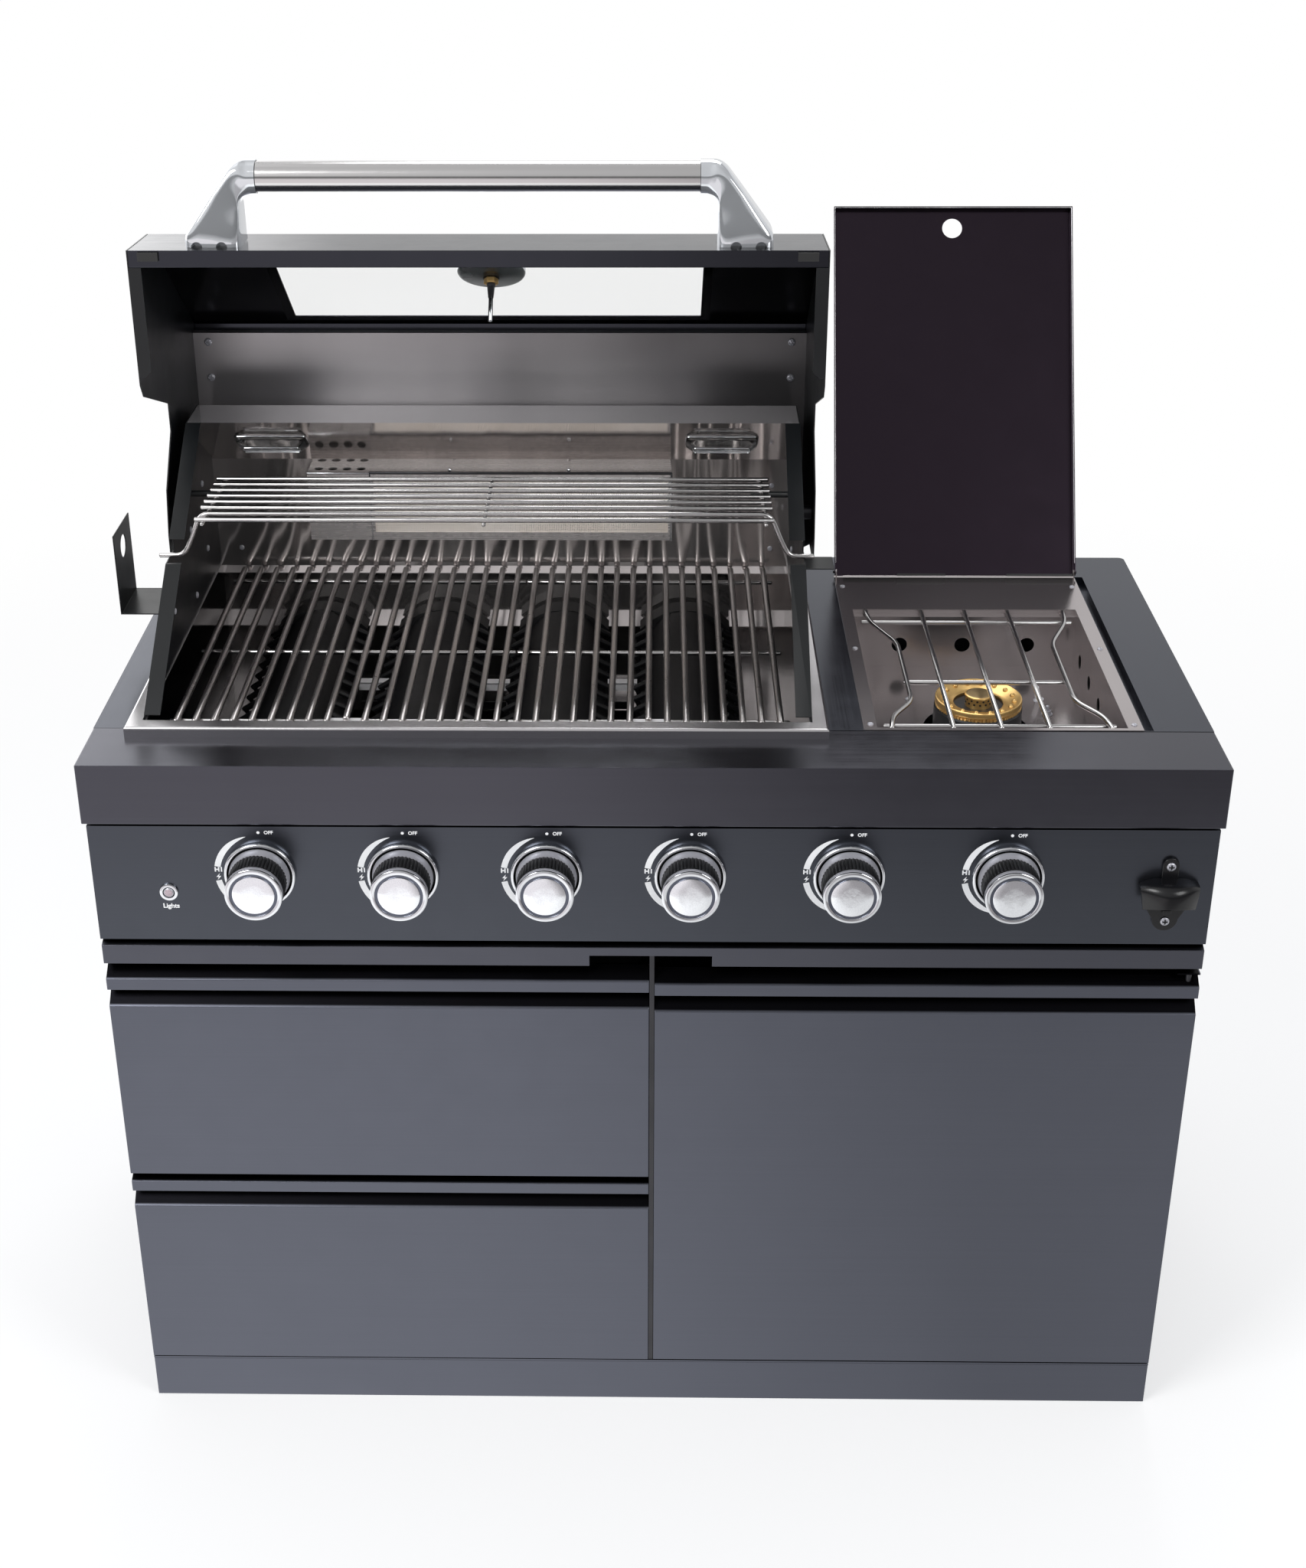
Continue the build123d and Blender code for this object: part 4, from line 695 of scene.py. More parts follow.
labels = {
    "panel": 1.9,           # just in front of the panel's face
    "thick": 0.12,
    "arcRadius": 49.6,
    "arcHalf": (3.4, 0.12), # half the crescent's width where it is full, and at its tips
    "arc": (106, 262),      # degrees from +x towards the left, seen from the front
    "taper": 46,
    "gap": (170, 191),      # where the sign for high stands in the crescent
    "dot": (1.2, 53.3, 1.8),
    "off": (13.0, 53.2, 6.0),
    "high": (-48.4, 4.9),
    "bars": ((-4.2, -3.0, -2.6, 3.0), (-2.6, -0.8, -0.2, 0.8), (-0.2, -3.0, 1.4, 3.0),
             (2.9, -3.0, 4.5, 3.0)),      # the strokes of the letters H and I
    "spark": (-48.4, -4.6),
    "bolt": ((1.5, 4.4), (-3.0, -0.5), (-0.2, -0.5), (-1.6, -4.4), (3.0, 0.9), (0.2, 0.9)),
    "lights": (1, -19.0, 8.2),
}


def arcGrid(x, z, s, start, end):
    # a crescent as rows of four points, so that its faces stay flat quads; its half width
    # grows from each tip by twice the way less its square
    angle = np.radians(np.linspace(start, end, 40))
    degrees = np.degrees(angle)
    grow = np.clip((degrees - s["arc"][0]) / s["taper"], 0, 1)
    fall = np.clip((s["arc"][1] - degrees) / s["taper"], 0, 1)
    full, thin = s["arcHalf"]
    half = full * (grow * (2 - grow)) * (fall * (2 - fall)) + thin
    outer, inner = (np.column_stack((r * np.cos(angle), r * np.sin(angle))) + np.array((x, z))
                    for r in (s["arcRadius"] + half, s["arcRadius"] - half))
    y, front = s["panel"], s["panel"] - s["thick"]
    return np.stack([np.column_stack((p[:, 0], np.full(len(p), v), p[:, 1])) for p, v in
                     ((outer, y), (outer, front), (inner, front), (inner, y))], 1)


def finished(made):
    # a mesh of the object as its modifiers leave it
    return bpy.data.meshes.new_from_object(
        made.evaluated_get(bpy.context.evaluated_depsgraph_get()))


def letters(text, size, x, z, y):
    # flat lettering on the panel, turned to face the front
    curve = bpy.data.curves.new(text, "FONT")
    curve.body = text
    curve.size = size
    curve.align_x = "CENTER"
    curve.align_y = "CENTER"
    curve.extrude = labels["thick"] / 2
    curve.offset = 0.03 * size
    curve.resolution_u = 3
    source = bpy.data.objects.new(text, curve)
    scene.collection.objects.link(source)
    mesh = finished(source)
    bpy.data.objects.remove(source)
    n = len(mesh.vertices)
    co = np.zeros(n * 3)
    mesh.vertices.foreach_get("co", co)
    co = co.reshape(-1, 3)
    placed = np.column_stack((co[:, 0] + x, y - co[:, 2], co[:, 1] + z))
    mesh.vertices.foreach_set("co", toFrame(placed).ravel())
    mesh.materials.clear()
    mesh.materials.append(finish["print"])
    return mesh


def joinMeshes(name, meshes, body):
    # several meshes as one printed piece
    work = bmesh.new()
    for mesh in meshes:
        work.from_mesh(mesh)
    joined = bpy.data.meshes.new(name)
    work.to_mesh(joined)
    work.free()
    joined.materials.append(finish["print"])
    made = bpy.data.objects.new(name, joined)
    scene.collection.objects.link(made)
    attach(made, body)
    return made


def makeLabels(s):
    # round each knob: a crescent in two parts, HI, a spark sign, a dot and OFF
    arcs = Piece("knob_scales", "root")
    words = []
    z0 = knobs["height"]
    back, front = s["panel"], s["panel"] - s["thick"]
    wordY = s["panel"] - s["thick"] / 2
    angle = np.arange(20) * 2 * pi / 20
    dotX, dotZ, r = s["dot"]
    dx, dz, size = s["off"]
    for x in knobs["xs"]:
        for x0, low, x1, high in s["bars"]:
            corners = np.array(((x0, low), (x1, low), (x1, high), (x0, high)))
            place = np.array((x + s["high"][0], z0 + s["high"][1]))
            arcs.grid(sheet(corners + place, back, front), "print")
        arcs.grid(arcGrid(x, z0, s, s["arc"][0], s["gap"][0]), "print")
        arcs.grid(arcGrid(x, z0, s, s["gap"][1], s["arc"][1]), "print")
        dot = np.column_stack((x + dotX + r * np.cos(angle), z0 + dotZ + r * np.sin(angle)))
        arcs.grid(sheet(dot, back, front), "print")
        bolt = np.array(s["bolt"]) + np.array((x + s["spark"][0], z0 + s["spark"][1]))
        arcs.grid(sheet(bolt, back, front), "print")
        words.append(letters("OFF", size, x + dx, z0 + dz, wordY))
    dx, dz, size = s["lights"]
    switchX, _, switchZ = lightSwitch["place"]
    words.append(letters("Lights", size, switchX + dx, switchZ + dz, wordY))
    arcs.make()
    joinMeshes("panel_words", words, "root")


handle = {"half": 257.0, "radius": 17.5, "tuck": 3, "seam": 0.5}

posts = {
    "foot": (-545.0, -479.0),       # outer and inner x of the left foot
    "collarX": headX - handle["half"],
    "tube": (6.0, 66.0),            # y and z of the tube's centre line with the hood shut
    "collar": 19.4,
    "footHalf": 31.0,
    "base": 82.5,                   # y of the hood's front strip at the foot
    "heel": 14,                     # height of the upright side of the foot
    "shoulder": (-490, -480, 7),    # where the slope ends, and how far below the top
    "outerRound": 9,
    "innerRound": (17, 8),
    "swell": 1.1,
    "squarer": (0.55, 0.35),        # from where the section turns from box to tube
    "recesses": (-530.0, -501.0),
    "recess": (6.6, 13),            # radius and depth
    "sections": 40,
    "ring": 56,
}


def resample(points, count):
    # equally spaced points along a polyline
    points = np.asarray(points, float)
    length = np.concatenate(((0,), np.cumsum(np.linalg.norm(np.diff(points, axis=0), axis=1))))
    at = np.linspace(0, length[-1], count)
    return np.column_stack([np.interp(at, length, points[:, k]) for k in range(points.shape[1])])


def postGrid(s, side):
    # rounded sections between an inner and an outer outline, from the foot to the collar;
    # each section is a circle whose sine and cosine are raised to a power, low at the foot
    # for a boxy shape and one at the collar for a round one
    tubeY, tubeZ = s["tube"]
    rise = s["base"] - tubeY
    out, back = s["foot"]
    r, end = s["collar"], s["collarX"]
    slope, top, drop = s["shoulder"]
    outer = rounded(((out, 0), (out, s["heel"]), (slope, rise + r - drop), (top, rise + r),
                     (end, rise + r)), s["outerRound"])
    inner = rounded(((back, 0), (back, rise - r - 1), (end, rise - r)), *s["innerRound"])
    outer, inner = resample(outer, s["sections"]), resample(inner, s["sections"])
    t = np.linspace(0, 1, s["sections"])
    ease = t * t * (3 - 2 * t)
    half = s["footHalf"] + (r - s["footHalf"]) * np.clip(ease * s["swell"], 0, 1)
    start, length = s["squarer"]
    power = 2 / (7 - 5 * np.clip((t - start) / length, 0, 1))
    angle = np.arange(s["ring"]) * 2 * pi / s["ring"]
    c, v = np.cos(angle), np.sin(angle)
    along = np.sign(c) * abs(c) ** power[:, None]
    deep = np.sign(v) * abs(v) ** power[:, None]
    middle, reach = (outer + inner) / 2, (outer - inner) / 2
    x = middle[:, :1] + reach[:, :1] * along
    h = middle[:, 1:] + reach[:, 1:] * along
    z = tubeZ + half[:, None] * deep
    if side > 0:
        x = 2 * headX - x
    return np.stack((x, s["base"] - h, z), -1)


def makePosts(s):
    # the two cast posts of the hood's handle, each with two round recesses in its foot
    made = []
    for side, name in ((-1, "left"), (1, "right")):
        post = Piece(f"handle_post_{name}", "hood", openHood)
        post.grid(postGrid(s, side), "post")
        made.append(post)
    radius, depth = s["recess"]
    y, z = s["base"] - 1.0, s["tube"][1] - s["footHalf"] - 2
    for post, side in ((made[0].make("handle_posts"), -1), (made[1].make(), 1)):
        cutter = Piece("cutter", "hood", openHood)
        for x in s["recesses"]:
            place = (x if side < 0 else 2 * headX - x, y, z)
            cutter.grid(turned(((0, radius), (depth, radius)), place, (0, 0, 1), 32), "enamel")
        carve(post, cutter)


def carve(made, cutter):
    # cuts a closed piece away and keeps the result as the mesh
    tool = cutter.make()
    cut = made.modifiers.new("cut", "BOOLEAN")
    cut.operation = "DIFFERENCE"
    cut.solver = "EXACT"
    cut.object = tool
    bpy.context.view_layer.update()
    done = finished(made)
    made.modifiers.remove(cut)
    made.data = done
    done.set_sharp_from_angle(angle=radians(38))
    bpy.data.objects.remove(tool)


gauge = {
    "place": 118.0,         # how far up the hood's slope it sits
    "angle": 52.0,          # the slope in degrees
    "ticks": (29, 225, 270, 0.8),
    "tick": (26, 30, 35.5, -14.3),         # a long and a short start, the end, and the height
    "needle": (200, -8, 27, 1.2, -14.6),
    "hub": ((-14.0, 3.4), (-15.2, 3.2), (-15.4, 0.3)),
    "strip": (80.0, 16.0, 112.0, 3.6),     # y and z of the lip, height and lean of the strip
    "case": (
        ("gaugeBack", ((-2.0, 0.3), (-2.0, 38.5), (-3.2, 41.5), (-4.8, 42.6))),
        ("chrome", ((-4.8, 42.6), (-6, 43), (-13, 43), (-15, 42.4), (-16, 41), (-15.6, 39.4),
                    (-14.2, 38.8))),
        ("print", ((-14.2, 38.8), (-14.2, 0.3))),
    ),
    "stem": (("grip", ((-2.2, 0.3), (-2.2, 10.5), (4.4, 10.5), (4.6, 6.0))),
             ("darkSteel", ((4.6, 6.0), (16, 5.4), (16.5, 4.8), (31, 3.4), (32, 2.8))),
             ("chrome", ((32, 2.8), (61, 2.8), (62, 2.2), (62.4, 0.3)))),
    "nut": ((5.6, 8.6), (6.2, 9.2), (12.0, 9.2), (12.6, 8.6)),
}


def makeGauge(s):
    # a turned case and stem through the glass, square to the hood's slope; the case's place is
    # the end of the upright strip plus the way up the slope
    lipY, lipZ, height, lean = s["strip"]
    lean, angle = radians(lean), radians(s["angle"])
    y = lipY + height * sin(lean) + s["place"] * cos(angle)
    z = lipZ + height * cos(lean) + s["place"] * sin(angle)
    inwards = (0, sin(angle), -cos(angle))
    centre = (headX, y, z)
    piece = Piece("thermometer_dressed", "hood", openHood)
    piece.lathe(s["case"], centre, inwards, 96)
    piece.lathe(s["stem"], centre, inwards, 24)
    piece.grid(turned(s["nut"], centre, inwards, 6), "brass")
    dialMarks(s, piece, centre, np.asarray(inwards))
    piece.make("thermometer")


def dialMarks(s, piece, centre, inwards):
    # ticks and a needle, just above the dial
    side = np.array((1.0, 0, 0))
    up = np.cross(side, inwards)
    count, first, sweep, width = s["ticks"]
    long, short, end, height = s["tick"]
    marks = [(first - i * sweep / (count - 1), short if i % 4 else long, end, width, height,
              "grip") for i in range(count)]
    for degrees, start, end, width, height, key in (*marks, (*s["needle"], "red")):
        angle = radians(degrees)
        ahead = cos(angle) * side + sin(angle) * up
        strip(piece, centre + inwards * height, ahead, np.cross(ahead, inwards), start, end,
              width, key)
    piece.grid(turned(s["hub"], centre, inwards, 24), "grip")


def strip(piece, centre, ahead, across, start, end, width, key, thick=0.3):
    # a thin flat bar, closed all round
    down = np.cross(ahead, across)
    ring = [(-width / 2, -thick / 2), (width / 2, -thick / 2), (width / 2, thick / 2),
            (-width / 2, thick / 2)]
    piece.grid([[centre + ahead * a + across * b + down * c for b, c in ring]
                for a in (start, end)], key)


def makeHandle(s):
    # a plain cylinder between the posts, and a thin dark ring at each end
    r, seam = s["radius"], s["seam"]
    tubeY, tubeZ = posts["tube"]
    x0, x1 = headX - s["half"] - s["tuck"], headX + s["half"] + s["tuck"]
    piece = Piece("handle_tube_dressed", "hood", openHood)
    piece.grid(turned(((0, r), (x1 - x0, r)), (x0, tubeY, tubeZ), (1, 0, 0), 96), "tube")
    piece.make("hood_handle_tube")
    seams = Piece("handle_seams", "hood", openHood)
    groove = ((-seam, r - 1), (-seam, r + seam), (seam, r + seam), (seam, r - 1))
    for x in (headX - s["half"], headX + s["half"]):
        seams.lathe((("grip", groove),), (x, tubeY, tubeZ), (1, 0, 0), 64, loop=True)
    seams.make()


grates = {
    "radius": 4.0,
    "barRadius": 3.0,
    "pitch": 22.0,
    "front": 108.0,
    "rear": 588.0,
    "z": 3.0,
    "bars": (124.0, 324.0, 559.0),
    "sunk": 0.6,            # how far the rods sink into the bars where they are welded
    "short": 9,             # the middle rod of each grate starts behind the others
    "counts": {"grate_left": 18, "grate_right": 15},
}


def makeGrates(s):
    # round rods at an even pitch about the middle of each grate, welded on three cross bars
    for name, count in s["counts"].items():
        low, high = (corner[0] * 1000 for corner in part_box(name))
        first = (low + high) / 2 - (count - 1) * s["pitch"] / 2
        piece = Piece(f"{name}_dressed", name)
        for i in range(count):
            x = np.full(9, first + i * s["pitch"])
            start = s["front"] + (s["short"] if i == count // 2 else 0)
            path = np.column_stack((x, np.linspace(start, s["rear"], 9), np.full(9, s["z"])))
            piece.grid(rod(path, s["radius"], 14), "rods")
        barZ = s["z"] - s["radius"] - s["barRadius"] + s["sunk"]
        for y in s["bars"]:
            piece.grid(rod(((low, y, barZ), (high, y, barZ)), s["barRadius"], 12), "wire")
        piece.make(name, smooth=60)


rack = {
    "z": 188.0, "front": 284.0, "pitch": 20.9, "rods": 8, "half": 347.0, "radius": 3.0,
    "cross": 2.5, "foot": (14.0, 24.0, 398.5), "kneeDrop": 34.0, "footZ": 134.3, "bend": 12,
    "crossIn": 8,           # the outer cross rods stand this far in from the ends
}


def makeRack(s):
    # even rods, the second of which runs on at both ends and steps down to the cheeks
    piece = Piece("warming_rack_dressed", "warming_rack")
    z, half = s["z"], s["half"]
    for i in range(s["rods"]):
        y = s["front"] + s["pitch"] * i
        if i != 1:
            piece.grid(rod(((headX - half, y, z), (headX + half, y, z)), s["radius"], 14),
                       "wire")
    legY = s["front"] + s["pitch"]
    knee, ankle, end = s["foot"]
    wide = half - 2
    right = [(wide, z), (wide + knee, z - s["kneeDrop"]), (wide + ankle, s["footZ"]),
             (end, s["footZ"])]
    path = [(-x, legY, h) for x, h in right[::-1]] + [(x, legY, h) for x, h in right]
    path = np.array(path) + np.array((headX, 0, 0))
    piece.grid(rod(path, s["radius"], 14, bend=s["bend"]), "wire")
    near, far = s["front"] - 3, s["front"] + s["pitch"] * (s["rods"] - 1) + 3
    z = s["z"] - s["radius"] - 2
    for dx in (-half + s["crossIn"], 0, half - s["crossIn"]):
        piece.grid(rod(((headX + dx, near, z), (headX + dx, far, z)), s["cross"], 12), "wire")
    piece.make("warming_rack", smooth=60)


support = {
    "radius": 3.0, "bend": 16.0, "spread": 56, "drop": 5.2,
    "outer": ((125, 418), (97, 351), (97, 181), (124, 138)),  # x and y of the waisted rods
    "end": 128,
    "crossings": ((122.0, 135.0), (245.0, 99.0), (430.0, 135.0)),
}


def makePanSupport(s):
    # three straight rods and two waisted ones on three crossings
    low, high = (np.asarray(v) * 1000 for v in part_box("pan_support"))
    r = s["radius"]
    z = high[2] - worktopTop * 1000 - r
    y0, y1 = low[1] - frontEdge * 1000, high[1] - frontEdge * 1000
    middle = (low[0] + high[0]) / 2
    piece = Piece("pan_support_dressed", "pan_support")
    for x in (middle - s["spread"], middle, middle + s["spread"]):
        piece.grid(rod(((x, y0, z), (x, y1, z)), r, 14), "wire")
    for side in (-1, 1):
        path = [(middle + side * x, y, z)
                for x, y in ((s["end"], y1), *s["outer"], (s["end"], y0))]
        piece.grid(rod(path, r, 14, bend=s["bend"]), "wire")
    for y, half in s["crossings"]:
        ends = ((middle - half, y, z - s["drop"]), (middle + half, y, z - s["drop"]))
        piece.grid(rod(ends, r, 14), "wire")
    piece.make("pan_support", smooth=60)


burner = {
    "ring": ((-41.9, 31), (-41.9, 51.2), (-38.8, 51.6), (-38.5, 51.8), (-37.8, 52.8), (-36.6, 53.2),
             (-32.4, 53.2), (-31.0, 52.6), (-30.6, 51.2), (-31.4, 49.6), (-36.4, 35), (-37.6, 31.4),
             (-38.6, 30.4)),
    "cap": (("brass", ((-41.9, 0.3), (-41.9, 16), (-30, 16.4), (-28.4, 17), (-27.2, 16.6),
                       (-26.6, 15.2))),
            ("dullBrass", ((-26.6, 15.2), (-26.4, 13), (-26.3, 0.3)))),
    "teeth": (72, 1.5),
    "bosses": (16, 43.5, -33.6),    # how many, and the radius and height they sit at
    "ports": (14, 16.0, (-31.5, -36.0)),
}


def makeBurnerRing(s):
    # a turned ring whose wall has square teeth, out where the cosine is positive; a cap in
    # it, bosses round its shoulder and two rows of ports
    centre = middleOf("side_burner_ring") * (1, 1, 0)
    piece = Piece("side_burner_ring_dressed", "root")
    count, height = s["teeth"]

    def teeth(angle):
        return height * (np.cos(count * angle) > 0)

    ring = s["ring"]
    piece.lathe((("brass", ring[:1]), ("brass", ring[:3]), ("brass", ring[2:])), centre,
                (0, 0, 1), count * 4, waves={1: teeth}, loop=True)
    piece.lathe(s["cap"], centre, (0, 0, 1), 64)
    t = np.linspace(0, 1.45, 6)
    dome = np.column_stack((3.0 * np.sin(t), 3.2 * np.cos(t)))
    bosses, radius, z = s["bosses"]
    for i in range(bosses):
        a = 2 * pi * (i + 0.5) / bosses
        place = centre + np.array((radius * cos(a), radius * sin(a), z))
        piece.grid(turned(dome, place, (-0.3 * cos(a), -0.3 * sin(a), 1), 16), "brass")
    # each port is a short dark plug: painted shade standing in for the hole
    ports, radius, levels = s["ports"]
    for row, z in enumerate(levels):
        for i in range(ports):
            a = 2 * pi * (i + 0.5 * row) / ports
            place = centre + np.array((radius * cos(a), radius * sin(a), z))
            piece.grid(turned(((0, 1.5), (0.8, 1.3)), place, (cos(a), sin(a), 0), 10), "grip")
    piece.make("side_burner_ring")


tamers = {
    "half": 61.0, "base": -73.0, "skirt": -104.0, "top": -45.0, "front": 102.0,
    "rear": 592.0, "ledge": 32.0, "thick": 1.6,
    "flare": 1.06,          # how much wider the deep part stands
    "curve": 2.3,           # the arch falls from its top by the width to this power
    "louvres": (13, 45),    # how many on a flank, and how far in they start
    "louvre": ((49, -5, -66.0), (66, 0, -78.0), (60, 4, -92.0)),
    "louvreRadius": 4.2,
}


def makeTamers(s):
    # facetted arches of thin sheet that rest on ledges at both ends, deeper between them,
    # with a row of raised louvres on both flanks
    piece = Piece("flame_tamers_dressed", "root")
    across = np.linspace(-1, 1, 9)
    fall = 1 - abs(across) ** s["curve"]
    front, rear, ledge = s["front"], s["rear"], s["ledge"]
    base, skirt = s["base"], s["skirt"]
    rows = ((front, base), (front + ledge, base), (front + ledge + 1, skirt),
            (rear - ledge - 1, skirt), (rear - ledge, base), (rear, base))
    count, inset = s["louvres"]
    for x in knobs["xs"][:4]:
        grid = []
        for y, low in rows:
            half = s["half"] * (1 if low > skirt else s["flare"])
            depth = s["top"] - low
            outer = np.column_stack((x + across * half, low + depth * fall))
            inner = np.column_stack((x + across * (half - s["thick"]),
                                     low - s["thick"] + depth * fall))
            ring = np.concatenate((outer, inner[::-1]))
            grid.append(np.column_stack((ring[:, 0], np.full(len(ring), y), ring[:, 1])))
        piece.grid(np.stack(grid), "tamer")
        for side in (-1, 1):
            for i in range(count):
                y = front + inset + i * (rear - front - 2 * inset) / (count - 1)
                path = [(x + side * dx, y + dy, z) for dx, dy, z in s["louvre"]]
                piece.grid(rod(path, s["louvreRadius"], 8, blunt=0.3), "tamer")
    piece.make("flame_tamers", smooth=30)


clips = {
    "clips": ((-361.0, 388.0), (-203.0, 387.0), (-38.0, 388.0)),
    "height": -80.0,
    # each clip: a web, a flange over it and a dark tab, by their opposite corners
    "parts": (("clip", (-19, -1, -5), (19, 1, 5)), ("clip", (-19, -1, 4), (19, 12, 6)),
              ("darkSteel", (-15, -12, -26), (15, -10, -16))),
    "rest": ((-26.0, 110, -1.0), (26.0, 126, 0.2)),
}


def makeClips(s):
    # igniter clips between the burners and the small rests for the two short rods
    piece = Piece("igniter_clips", "root")
    for x, y in s["clips"]:
        place = np.array((x, y, s["height"]))
        for key, low, high in s["parts"]:
            piece.grid(bar(place + low, place + high), key)
    piece.make()
    rests = Piece("short_rod_rests", "root")
    for name, count in grates["counts"].items():
        x = middleOf(name)[0] + (count // 2 - (count - 1) / 2) * grates["pitch"]
        rests.grid(bar(*(np.array(corner) + (x, 0, 0) for corner in s["rest"])), "clip")
    rests.make()


burnerTrim = {
    "left": -458.0, "middle": -375.0, "right": 25.0, "front": 565.0, "top": 149.0,
    "bottom": 55.0,
    "proud": (0.6, 0.8),            # how far the lip and the frame stand out
    "radii": (1.3, 1.8, 1.0, 1.6),  # lip, top, left and right of the frame
    "studs": (106, 136),            # their distance from the frame's two ends
    "stud": ((0, 2.4), (3.4, 2.2), (4.4, 1.4)),
}


def makeBurnerTrim(s):
    # the rear burner's bright lip, dark top frame with two studs, and end frame
    piece = Piece("rear_burner_trim", "root")
    y, top, low = s["front"], s["top"], s["bottom"]
    left, middle, right = s["left"], s["middle"], s["right"]
    lipY, frameY = (y - d for d in s["proud"])
    runs = (("chrome", (left, lipY, top), (middle, lipY, top)),
            ("darkSteel", (middle, frameY, top + 0.6), (right, frameY, top + 0.6)),
            ("chrome", (middle, frameY, top), (middle, frameY, low)),
            ("chrome", (right, frameY, top), (right, frameY, low)))
    for (key, start, end), radius in zip(runs, s["radii"]):
        piece.grid(rod((start, end), radius, 10), key)
    for x in (middle + s["studs"][0], right - s["studs"][1]):
        piece.grid(turned(s["stud"], (x, y + 8, top - 0.2), (0, 0, 1), 16), "chrome")
    piece.make()


electrode = {
    "foot": (492.0, 340.0, -75.0), "lean": (-0.25, -0.15, 1),
    "parts": (("satin", ((0, 0.3), (0, 6.5), (2, 6.5), (2.4, 4.2))),
              ("print", ((2.4, 4.2), (3, 3.4), (21, 3.4), (22, 2.6))),
              ("satin", ((22, 2.6), (23, 1.1), (30, 1.1), (30.4, 0.3)))),
    "wire": ((0, 0, 0), (-6, -3, 2), (-12, -7, -1)), "wireStart": 29.4, "wireRadius": 1.1,
    "bolt": (496.0, 300.0, -75.0),
    "washer": ((0, 7), (1.2, 7)),
    "nut": ((1.2, 5.2), (5.4, 5.2), (6, 4.6)),
    "stud": (5, 11, 2.6),
    "screw": (327.0, 342.0, -74.8),
}


def makeElectrode(s):
    # ceramic igniter beside the side burner, its bolt, and one screw in the well's floor
    piece = Piece("side_burner_electrode", "root")
    up = (0, 0, 1)
    foot, bolt = np.array(s["foot"]), np.array(s["bolt"])
    piece.lathe(s["parts"], foot, s["lean"], 20)
    tip = foot + np.array(s["lean"]) * s["wireStart"]
    piece.grid(rod(tip + np.array(s["wire"]), s["wireRadius"], 8, bend=3), "satin")
    piece.grid(turned(s["washer"], bolt, up, 28), "satin")
    piece.grid(turned(s["nut"], bolt, up, 6), "satin")
    start, end, radius = s["stud"]
    piece.grid(rod((bolt + (0, 0, start), bolt + (0, 0, end)), radius, 12), "satin")
    piece.grid(panHead(s["screw"], up, 4.4, 2.2), "satin")
    piece.make()


lampGlass = {
    "apart": 292.0, "length": 92.0, "width": 38.0, "height": 13.0, "bevel": 9.0, "wall": 3.0,
    "slope": (133.0, 93.0),         # run and rise of the sloping panel
    "panel": (600, 157, 0.53),      # y and z of its lower edge, and how far up the lamps sit
    "dish": ((3, -10.6), (1, -1.2), (0, -0.6), (0, 0.3), (2, -0.6), (9, -9), (12, -10)),
    "bulb": ((-26.0, 0, -4), (26.0, 0, -4)),
    "bulbRadius": 4.2,
}


def lampPlace(s, x, points):
    # from the lamp's own plane to the sloping panel: third axis points down into the grill
    run, rise = s["slope"]
    y, z, share = s["panel"]
    slope = np.hypot(rise, run)
    along = np.array((0, -run, rise)) / slope
    down = np.array((0, -rise, -run)) / slope
    centre = np.array((x, y - run * share, z + rise * share))
    return (centre + points[..., :1] * np.array((1.0, 0, 0)) + points[..., 1:2] * along
            + points[..., 2:] * down)


def roundRect(halfX, halfY, corner, height, steps=5):
    # outline of a rectangle with round corners, lying at a height
    a = np.linspace(0, pi / 2, steps)
    parts = []
    for k, (sx, sy) in enumerate(((1, 1), (-1, 1), (-1, -1), (1, -1))):
        angle = a + k * pi / 2
        parts.append(np.column_stack((sx * (halfX - corner) + corner * np.cos(angle),
                                      sy * (halfY - corner) + corner * np.sin(angle),
                                      np.full(steps, height))))
    return np.concatenate(parts)


def makeLampGlasses(s):
    # hollow glasses with sloping edges, over a pressed dish with a bar-shaped bulb
    glass = Piece("lamp_glasses_dressed", "root")
    inside = Piece("lamp_reflectors", "root")
    halfL, halfW = s["length"] / 2, s["width"] / 2
    bevel, height, wall = s["bevel"], s["height"], s["wall"]
    # each shell, and the bright rings that line its edges: inset, height and corner
    outer = ((0, 0.4, 5), (0, 4, 5), (bevel * 0.9, height - 1, 4), (bevel, height, 3.6))
    inner = ((bevel + 2.5, height - wall, 2.6), (wall, 3.5, 3.4), (wall, 0.4, 3.4))
    rings = ((-0.6, 0.8, 5), (bevel, height + 0.2, 3.6), (5, -0.2, 3))
    for x in (headX - s["apart"], headX + s["apart"]):
        for shell in (outer, inner):
            rows = [roundRect(halfL - inset, halfW - inset, c, h) for inset, h, c in shell]
            glass.grid(lampPlace(s, x, np.stack(rows)), "lamp")
        dish = [roundRect(halfL - 5 - inset, halfW - 5 - inset * 0.8, 3, h)
                for inset, h in s["dish"]]
        inside.grid(lampPlace(s, x, np.stack(dish)), "satin")
        for inset, h, c in rings:
            loop = roundRect(halfL - inset, halfW - inset, c, h)
            loop = np.concatenate((loop, loop[:1]))
            inside.grid(rod(lampPlace(s, x, loop), 0.7, 8), "chrome")
        bulb = lampPlace(s, x, np.array(s["bulb"]))
        inside.grid(rod(bulb, s["bulbRadius"], 14), "print")
    glass.make("lamp_glasses", smooth=30)
    inside.make()


